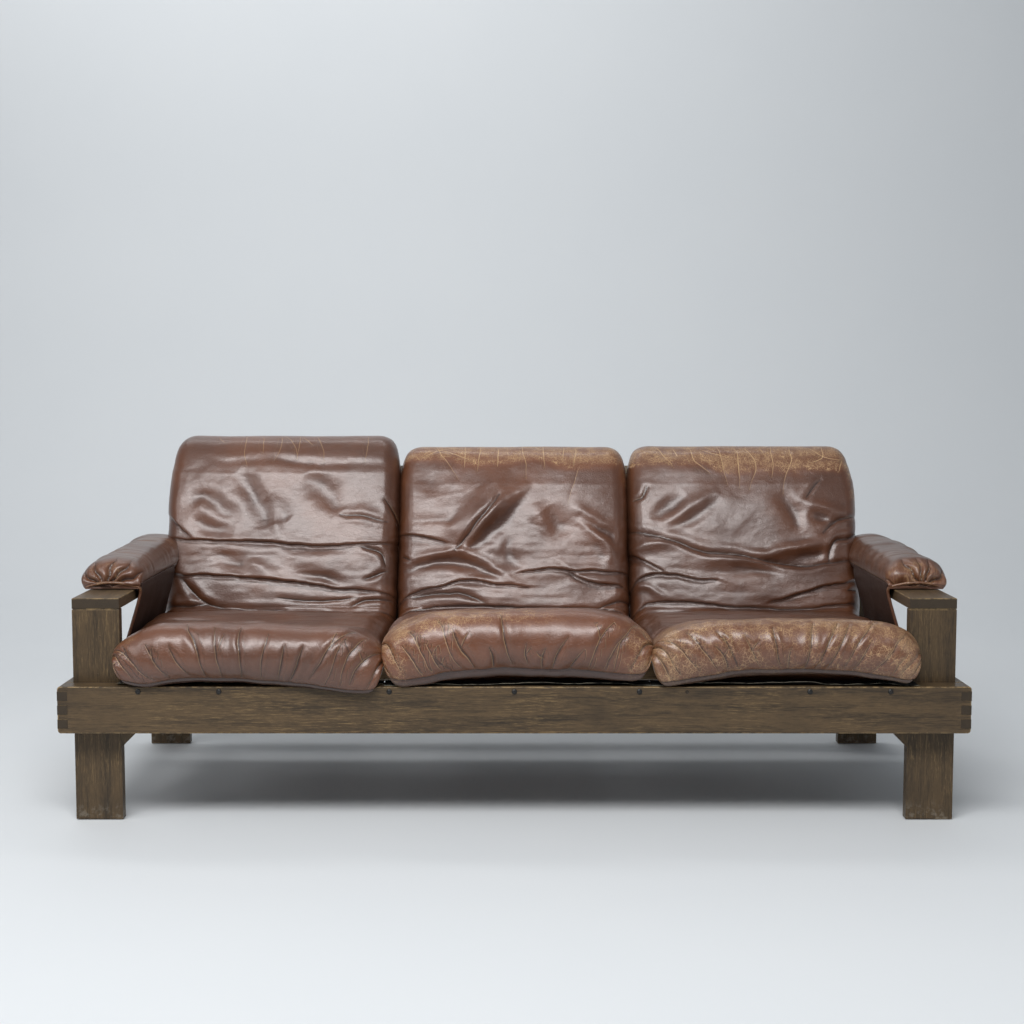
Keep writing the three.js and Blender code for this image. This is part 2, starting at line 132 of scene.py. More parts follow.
class Finish:
    """One material and the few ways its nodes are added."""

    def __init__(self, name):
        self.material = bpy.data.materials.new(name)
        self.material.use_nodes = True
        self.tree = self.material.node_tree
        self.tree.nodes.clear()

    def node(self, kind, settings=None, sockets=None):
        """Adds a node, sets it, feeds its sockets, and gives its outputs as values."""
        made = self.tree.nodes.new(kind)
        for key, setting in (settings or {}).items():
            setattr(made, key, setting)
        for key, value in (sockets or {}).items():
            self.feed(made.inputs[key], value)
        return [Value(self, output) for output in made.outputs]

    def feed(self, socket, value):
        """Links a value to a socket, or sets what the socket holds."""
        if isinstance(value, Value):
            self.tree.links.new(value.socket, socket)
        elif socket.type == "RGBA" and len(value) == 3:
            socket.default_value = (*value, 1.0)
        else:
            socket.default_value = value

    def where(self, scale=(1, 1, 1), uv=None):
        """Object coordinates, or the piece's own UV map, stretched by a scale."""
        if uv:
            source = self.node("ShaderNodeUVMap", {"uv_map": uv})[0]
        else:
            source = self.node("ShaderNodeTexCoord")[3]
        return self.node("ShaderNodeMapping", {}, {"Vector": source, "Scale": scale})[0]

    def attribute(self, name):
        return self.node("ShaderNodeAttribute", {"attribute_name": name})[2]

    def attributes(self, name):
        """The three numbers of a vector attribute."""
        return self.parts(self.node("ShaderNodeAttribute", {"attribute_name": name})[1])

    def parts(self, vector):
        return self.node("ShaderNodeSeparateXYZ", {}, {0: vector})

    def noise(self, vector, scale, detail, rough):
        return self.node(
            "ShaderNodeTexNoise", {},
            {"Vector": vector, "Scale": scale, "Detail": detail, "Roughness": rough})[0]

    def cells(self, vector, scale, feature="DISTANCE_TO_EDGE", randomness=1.0):
        return self.node(
            "ShaderNodeTexVoronoi", {"feature": feature},
            {"Vector": vector, "Scale": scale, "Randomness": randomness})[0]

    def threads(self, vector, direction, scale, distortion):
        """Even ribs across one direction."""
        return self.node(
            "ShaderNodeTexWave", {"bands_direction": direction},
            {"Vector": vector, "Scale": scale, "Distortion": distortion})[1]

    def warp(self, vector, scale, amount):
        """A vector pushed about by noise."""
        push = self.node("ShaderNodeTexNoise", {}, {"Vector": vector, "Scale": scale, "Detail": 2.0})[1]
        centred = self.node(
            "ShaderNodeVectorMath", {"operation": "SUBTRACT"}, {0: push, 1: (0.5, 0.5, 0.5)})[0]
        scaled = self.node(
            "ShaderNodeVectorMath", {"operation": "SCALE"}, {0: centred, "Scale": amount})[0]
        return self.node("ShaderNodeVectorMath", {"operation": "ADD"}, {0: vector, 1: scaled})[0]

    def blend(self, mask, base, over):
        """A colour: base where the mask is 0, over where it is 1."""
        made = self.tree.nodes.new("ShaderNodeMix")
        made.data_type = "RGBA"
        fed = {"Factor_Float": mask, "A_Color": base, "B_Color": over}
        for socket in made.inputs:
            if socket.identifier in fed:
                self.feed(socket, fed[socket.identifier])
        return Value(self, next(o for o in made.outputs if o.identifier == "Result_Color"))

    def bump(self, height, distance, strength=1.0, normal=None):
        sockets = {"Height": height, "Distance": distance, "Strength": strength}
        if normal is not None:
            sockets["Normal"] = normal
        return self.node("ShaderNodeBump", {}, sockets)[0]

    def surface(self, **sockets):
        """The shader and the output; sockets are named as on the shader, spaces as underscores."""
        named = {key.replace("_", " "): value for key, value in sockets.items()}
        shader = self.node("ShaderNodeBsdfPrincipled", {}, named)[0]
        self.node("ShaderNodeOutputMaterial", {}, {"Surface": shader})
        return self.material


# --- Materials -------------------------------------------------------------------------------


def nearest_line(channels, half_width, soft):
    """1 on the lines that three signed-distance channels hold, 0 off them."""
    near = channels[0].size().low(channels[1].size()).low(channels[2].size())
    return near.step(half_width + soft, half_width)


def leather_finish(name, tint=(1.0, 1.0, 1.0), gloss=0.36, crackle=1.0, coat=0.72):
    """Semi-gloss hide, creased, and cracked and rubbed to tan where the wear attribute says; with painted
    shade in hollows, creases and below the seam, and painted highlights beside creases.
    """
    look = bpy.context.scene.sofa_leather
    skin = Finish(name)
    flat = skin.where(uv="flat")
    wear = skin.attribute("wear")
    hollow = skin.attribute("hollow")
    seam = skin.attribute("seam")
    creases = skin.attributes("creases")
    cracks = skin.attributes("cracks")
    broad = skin.noise(flat, 6.0, 3.0, 0.55)
    mottle = skin.noise(flat, 34.0, 4.0, 0.6)
    speck = skin.noise(flat, 430.0, 3.0, 0.75)

    hide = tuple(channel * shift for channel, shift in zip(look.hide, tint))
    dull = tuple(a * 0.62 + b * 0.38 for a, b in zip(hide, look.shade))
    warm = tuple(channel * shift for channel, shift in zip(hide, (1.42, 1.28, 0.95)))
    # Crease lines: their darkening below is painted shade; the bump uses them too.
    dark_line = nearest_line(creases, 0.15, 0.75)
    soft_line = nearest_line(creases, 0.2, 3.4)
    # A pale band on one side of each crease: partly rubbed wear, partly a painted highlight on its lit lip.
    beside = [line.step(0.7, 1.4) * line.step(3.4, 1.9) for line in creases[:2]]
    worn_and_lit_edge = beside[0].top(beside[1])
    crack_line = nearest_line(cracks, 0.55, 0.95)
    crack_soft = nearest_line(cracks, 0.6, 3.2)

    colour = skin.blend(broad.step(0.36, 0.66), dull, hide)
    colour = skin.blend(mottle.step(0.46, 0.74) * 0.35, colour, dull)
    patchy = (wear + (mottle - 0.5) * 1.1 * wear + (broad - 0.5) * 0.6 * wear).low(1.0).top(0.0)
    colour = skin.blend(patchy.step(0.04, 0.6) * 0.65, colour, warm)
    # Painted shade: darker in the hollows of folds and pleats and in the crevices between cushions.
    colour = skin.blend(hollow.step(0.1, 1.0) * 0.45, colour, look.shade)
    # Painted shade along the crease lines, fainter where the leather is worn.
    colour = skin.blend((soft_line * 0.25).top(dark_line * (0.85 - wear * 0.45)), colour, look.shade)

    coarse = skin.cells(skin.warp(flat, 35.0, 0.006), 118.0)
    middling = skin.cells(skin.warp(flat, 90.0, 0.003), 250.0)
    fine = skin.cells(skin.warp(flat, 220.0, 0.002), 400.0)
    coarse_line = coarse.step(0.060, 0.020) * patchy.step(0.34, 0.66)
    middling_line = middling.step(0.10, 0.03) * patchy.step(0.48, 0.90)
    fine_line = fine.step(0.15, 0.04) * patchy.step(0.58, 0.95)
    dust = speck.step(0.55, 0.61) * patchy.step(0.34, 0.85)
    rub = (coarse_line * 0.75).top(middling_line * 0.5).top(fine_line * 0.25).top(dust * 0.95)
    rub = rub * crackle * (mottle.step(0.36, 0.60) * 0.75 + 0.22)
    split = crack_line * (0.35 + wear * 0.65)
    worn = rub.top(split).top(crack_soft * wear * 0.25)
    # The pale crease edges join the wear: partly rubbed leather, partly painted highlight.
    worn = worn.top(worn_and_lit_edge * (0.05 + (wear * 2.6).low(1.0) * 0.5)).low(1.0)
    colour = skin.blend(worn, colour, look.rubbed)

    across = skin.parts(flat)[0]
    thread = (seam - 2.4).size().step(0.9, 0.45) * (across * 210.0).fraction().step(0.28, 0.42)
    # Painted shade below the seam, where the lip tucks under the roll.
    colour = skin.blend(seam.step(0.6, -2.5) * 0.78, colour, look.shade)
    colour = skin.blend(seam.size().step(1.7, 0.5) * 0.75, colour, look.shade)
    colour = skin.blend(thread * 0.6, colour, look.rubbed)

    pebble = skin.cells(flat, 400.0, "F1", 0.9)
    wrinkle = skin.noise(skin.warp(flat, 22.0, 0.02), 60.0, 5.0, 0.62)
    hair = skin.cells(skin.warp(skin.where((1.0, 2.3, 1.0), "flat"), 30.0, 0.02), 42.0)
    lines = dark_line * -0.9 + soft_line * -0.6 - crack_line * 0.55 - seam.size().step(1.6, 0.3) * 0.8
    normal = skin.bump(lines + hair.step(0.05, 0.0) * -0.16, 0.0016, 0.8)
    height = pebble * -0.6 + wrinkle * 1.15 - coarse_line * 0.55 - middling_line * 0.3 + thread * 0.5
    normal = skin.bump(height, 0.0011, 0.65, normal)
    rough = gloss + (mottle - 0.5) * 0.20 + (worn + patchy * 0.5).low(1.0) * 0.20 + speck * 0.06
    return skin.surface(
        Base_Color=colour, Roughness=rough, Normal=normal,
        Specular_IOR_Level=0.6, Specular_Tint=(1.0, 0.88, 0.86, 1.0),
        Coat_Weight=coat, Coat_Roughness=0.31, Coat_IOR=1.6)


def timber_finish(name, along, tone=1.0, worn_gain=1.0):
    """Dark stained timber with long grain along one axis and its arrises rubbed bare."""
    look = bpy.context.scene.sofa_timber
    wood = Finish(name)
    here = wood.where()
    stretch, fleck = ([1.0 if axis == along else finer for axis in "XYZ"] for finer in (16.0, 9.0))
    run = wood.warp(wood.where(stretch), 1.1, 0.35)
    band = wood.noise(run, 3.2, 4.0, 0.55)
    line = wood.noise(run, 21.0, 4.0, 0.65)
    pores = wood.noise(wood.where(fleck), 70.0, 3.0, 0.75)
    blotch = wood.noise(here, 5.5, 4.0, 0.6)
    scuff = wood.noise(here, 75.0, 4.0, 0.65)
    dust = wood.noise(here, 900.0, 2.0, 0.6)
    face = wood.parts(wood.node("ShaderNodeNewGeometry")[1])
    square = face[0].size().top(face[1].size()).top(face[2].size())
    arris = square.step(0.985, 0.93)
    end = face["XYZ".index(along)].size().step(0.8, 0.95)

    stain = tuple(channel * tone for channel in look.stain)
    golden = tuple(a * 0.5 + b * 0.5 for a, b in zip(stain, look.bare))
    grain = band * 0.45 + line * 0.35 + pores * 0.2
    colour = wood.blend(grain.step(0.34, 0.56), look.pore, stain)
    gold = (line * 0.6 + pores * 0.4).step(0.50, 0.68) * blotch.step(0.40, 0.62)
    colour = wood.blend(gold * 0.75, colour, golden)
    colour = wood.blend(pores.step(0.52, 0.38) * 0.22, colour, look.pore)
    colour = wood.blend(blotch.step(0.46, 0.30) * 0.45, colour, look.pore)
    colour = wood.blend(end * 0.85, colour, look.pore)
    rubbed = arris * scuff.step(0.40, 0.62) * worn_gain
    colour = wood.blend(rubbed.low(1.0) * 0.55, colour, look.bare)
    foot = wood.parts(here)[2].step(0.05, 0.0) * scuff.step(0.48, 0.66)
    colour = wood.blend(foot * 0.35 + dust.step(0.66, 0.78) * 0.10, colour, (0.30, 0.27, 0.22))
    height = line * 0.5 + pores * 0.5 + scuff * 0.12
    rough = 0.44 + (blotch - 0.5) * 0.25 + (pores - 0.5) * 0.15 + end * 0.2
    return wood.surface(
        Base_Color=colour, Roughness=rough, Normal=wood.bump(height, 0.0006, 0.55),
        Specular_IOR_Level=0.3)


def webbing_finish():
    """Flat woven strap: fine ribs along it and across, with dusty patches."""
    band = Finish("webbing")
    here = band.where()
    weave = band.threads(here, "X", 260.0, 0.4) * 0.6 + band.threads(here, "Y", 200.0, 0.6) * 0.4
    dust = band.noise(here, 30.0, 4.0, 0.6)
    colour = band.blend(weave, (0.018, 0.015, 0.012), (0.05, 0.042, 0.034))
    colour = band.blend(dust.step(0.5, 0.8) * 0.4, colour, (0.16, 0.14, 0.11))
    return band.surface(
        Base_Color=colour, Roughness=0.9, Normal=band.bump(weave, 0.0006, 0.7))


def steel_finish(name):
    """Dark, dull steel with rubbed high spots and rusty specks."""
    steel = Finish(name)
    here = steel.where()
    mottle = steel.noise(here, 700.0, 3.0, 0.6)
    rust = steel.noise(here, 260.0, 4.0, 0.7)
    colour = steel.blend(mottle, (0.012, 0.012, 0.012), (0.07, 0.068, 0.066))
    colour = steel.blend(rust.step(0.58, 0.75) * 0.6, colour, (0.10, 0.045, 0.02))
    return steel.surface(
        Base_Color=colour, Roughness=0.34 + mottle * 0.2, Metallic=0.85,
        Normal=steel.bump(mottle, 0.0002, 0.5))


def lining_finish():
    """Matt black woven cloth with a pale selvedge."""
    cloth = Finish("roll_lining")
    flat = cloth.where(uv="flat")
    weave = cloth.threads(flat, "X", 320.0, 0.0) * cloth.threads(flat, "Y", 320.0, 0.0)
    lint = cloth.noise(flat, 45.0, 4.0, 0.6)
    colour = cloth.blend(
        weave * 0.5 + lint.step(0.45, 0.8) * 0.5, (0.006, 0.006, 0.006), (0.016, 0.015, 0.014))
    selvedge = cloth.parts(flat)[1].step(0.0582, 0.0592) * lint.step(0.35, 0.55)
    colour = cloth.blend(selvedge * 0.8, colour, (0.30, 0.27, 0.20))
    return cloth.surface(Base_Color=colour, Roughness=0.92, Normal=cloth.bump(weave, 0.0005, 0.6))


# --- Helpers for shapes ----------------------------------------------------------------------


SPAN_STEPS = 16  # points to each span of a smooth curve


def smooth_path(points, count):
    """A smooth curve through given points, resampled to evenly spaced ones."""
    points = np.asarray(points, float)
    if len(points) == 2:
        dense = points[0] + (points[1] - points[0]) * np.linspace(0, 1, SPAN_STEPS)[:, None]
    else:
        padded = np.vstack([2 * points[0] - points[1], points, 2 * points[-1] - points[-2]])
        pieces = []
        t = np.linspace(0, 1, SPAN_STEPS, endpoint=False)[:, None]
        for p0, p1, p2, p3 in zip(padded, padded[1:], padded[2:], padded[3:]):
            pieces.append(0.5 * (2 * p1 + (p2 - p0) * t + (2 * p0 - 5 * p1 + 4 * p2 - p3) * t**2
                                 + (3 * p1 - p0 - 3 * p2 + p3) * t**3))
        dense = np.vstack(pieces + [points[-1:]])
    return even_path(dense, count)


def even_path(dense, count):
    """Points at even arc lengths along a polyline."""
    dense = np.asarray(dense, float)
    run = np.concatenate([[0], np.cumsum(np.linalg.norm(np.diff(dense, axis=0), axis=1))])
    at = np.linspace(0, run[-1], count)
    return np.stack([np.interp(at, run, dense[:, k]) for k in range(dense.shape[1])], axis=1)


def path_length(path):
    return float(np.linalg.norm(np.diff(path, axis=0), axis=1).sum())


def ease(x, start, end):
    """Smooth 0 to 1 from start to end, which may be the smaller."""
    t = np.clip((np.asarray(x, float) - start) / (end - start), 0, 1)
    return t * t * (3 - 2 * t)


def lattice(x, y, cell_x, cell_y, seed):
    """Smooth noise from -1 to 1 on a plane, with its cells' sizes."""
    values = np.random.default_rng(seed).uniform(-1, 1, (64, 64))
    u, v = x / cell_x + 17.3, y / cell_y + 31.7
    iu, iv = np.floor(u).astype(int), np.floor(v).astype(int)
    fu, fv = u - iu, v - iv
    fu, fv = fu**3 * (fu * (fu * 6 - 15) + 10), fv**3 * (fv * (fv * 6 - 15) + 10)
    a = values[iu % 64, iv % 64]
    b = values[(iu + 1) % 64, iv % 64]
    c = values[iu % 64, (iv + 1) % 64]
    d = values[(iu + 1) % 64, (iv + 1) % 64]
    return (a * (1 - fu) + b * fu) * (1 - fv) + (c * (1 - fu) + d * fu) * fv


def stroke_field(path, x, y):
    """Signed distance to a path on a plane, and the fraction along it of the nearest point."""
    best = np.full(x.shape, 1e9)
    side = np.ones(x.shape)
    along = np.zeros(x.shape)
    count = len(path) - 1
    for i, (p, q) in enumerate(zip(path, path[1:])):
        dx, dy = q - p
        length2 = dx * dx + dy * dy + 1e-12
        t = np.clip(((x - p[0]) * dx + (y - p[1]) * dy) / length2, 0, 1)
        ox, oy = x - p[0] - t * dx, y - p[1] - t * dy
        d = np.hypot(ox, oy)
        near = d < best
        best = np.where(near, d, best)
        side = np.where(near, np.sign(dx * oy - dy * ox), side)
        along = np.where(near, (i + t) / count, along)
    return best * np.where(side == 0, 1, side), along


def fold_height(kind, depth, width, path, x, y):
    """Height that one fold adds, in millimetres, and the distance to its line where it has one."""
    d, along = stroke_field(path, x, y)
    taper = np.sin(np.pi * np.clip(along * 0.94 + 0.03, 0, 1)) ** 0.6
    r = np.abs(d)
    if kind in ("valley", "ridge"):
        sign = -1 if kind == "valley" else 1
        return sign * 0.9 * depth * taper**1.5 * np.exp(-((r / (1.5 * width)) ** 2)), None
    line = d / np.maximum(taper, 0.12)
    if kind == "crease":  # a pinched line between two soft shoulders
        trough = -np.exp(-(r / (0.6 * width)))
        lips = 0.38 * np.exp(-(((r - 2.2 * width) / (1.6 * width)) ** 2))
        return depth * taper * (trough + lips), line
    # A tuck: the side on the left of the path stands proud and rolls over the other.
    over = np.tanh(d / 1.8) * np.exp(-r / np.where(d > 0, 3.6 * width, 2.2 * width))
    return 0.62 * depth * taper * (over - 0.55 * np.exp(-(r / 3.0) ** 1.3)), line


class LineStore:
    """Signed distances to the nearest crease line, in three channels so that neighbours don't mix."""

    def __init__(self, shape):
        self.channels = np.full((3, *shape), FAR)

    def add(self, line):
        near = np.abs(line) < 10
        clash = [np.count_nonzero(near & (np.abs(channel) < 10)) for channel in self.channels]
        channel = self.channels[int(np.argmin(clash))]
        closer = np.abs(line) < np.abs(channel)
        channel[closer] = line[closer]

    def columns(self):
        return np.stack([channel.ravel() for channel in self.channels], axis=1)


def blur(field, rounds):
    """Repeated box smoothing of a grid, edges held."""
    for _ in range(rounds):
        padded = np.pad(field, 1, mode="edge")
        field = (padded[1:-1, 1:-1] * 2 + padded[:-2, 1:-1] + padded[2:, 1:-1]
                 + padded[1:-1, :-2] + padded[1:-1, 2:]) / 6
    return field


def quads_of(index):
    """The faces of a grid of point numbers."""
    corners = [index[:-1, :-1], index[:-1, 1:], index[1:, 1:], index[1:, :-1]]
    return np.stack(corners, axis=-1).reshape(-1, 4).tolist()


def make_piece(name, points, faces, uv=None, attributes=None):
    """A smooth mesh object at the origin, with its flat UV map and its point attributes."""
    mesh = bpy.data.meshes.new(name)
    mesh.from_pydata(np.asarray(points, float).tolist(), [], faces)
    if uv is not None:
        layer = mesh.uv_layers.new(name="flat")
        corner = np.empty(len(mesh.loops), np.int32)
        mesh.loops.foreach_get("vertex_index", corner)
        layer.data.foreach_set("uv", np.asarray(uv, np.float32)[corner].ravel())
    for key, values in (attributes or {}).items():
        values = np.asarray(values, np.float32)
        wide = values.ndim == 2
        layer = mesh.attributes.new(key, "FLOAT_VECTOR" if wide else "FLOAT", "POINT")
        layer.data.foreach_set("vector" if wide else "value", values.ravel())
    mesh.polygons.foreach_set("use_smooth", np.ones(len(mesh.polygons), bool))
    shell = bmesh.new()
    shell.from_mesh(mesh)
    bmesh.ops.recalc_face_normals(shell, faces=shell.faces)
    shell.to_mesh(mesh)
    shell.free()
    piece = bpy.data.objects.new(name, mesh)
    bpy.context.scene.collection.objects.link(piece)
    return piece


def dress(piece, material):
    piece.data.materials.clear()
    piece.data.materials.append(material)
    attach(piece, "root")
    return piece


def tube(path, radius, sides):
    """Points and faces of a round bead along a path of points, closed at its ends."""
    path = np.asarray(path, float)
    tangent = np.gradient(path, axis=0)
    tangent /= np.linalg.norm(tangent, axis=1)[:, None]
    across = np.cross(tangent, (0.05, 0.9, 0.43))
    across /= np.linalg.norm(across, axis=1)[:, None]
    other = np.cross(across, tangent)
    turn = np.linspace(0, 2 * np.pi, sides, endpoint=False)[None, :, None]
    rings = path[:, None] + radius * (np.cos(turn) * across[:, None] + np.sin(turn) * other[:, None])
    count = len(path)
    points = np.vstack([rings.reshape(-1, 3), path[:1], path[-1:]])
    last = (count - 1) * sides
    faces = []
    for k in range(sides):
        after = (k + 1) % sides
        faces += [(i * sides + k, i * sides + after, (i + 1) * sides + after, (i + 1) * sides + k)
                  for i in range(count - 1)]
        faces += [(count * sides, after, k), (count * sides + 1, last + k, last + after)]
    return points, faces


# --- Cushions --------------------------------------------------------------------------------

RECLINE = math.tan(math.radians(22))
FOLD_DEPTH, FOLD_HEIGHT = 0.554, 0.380  # where seat and back meet
BACK_THICK = 0.108
SHOULDER_DROP = 0.090  # from a cushion's top down to where its face starts to round over
ROUND_OVER = 0.69  # share of that rounding up to which folds and wear are measured
SIDE_ROUND = 0.046  # how far a cushion's side is rounded in
SIDE_STEPS, FLAT_WIDTH = 30, 0.42  # points round each side, and the width that is shared out between

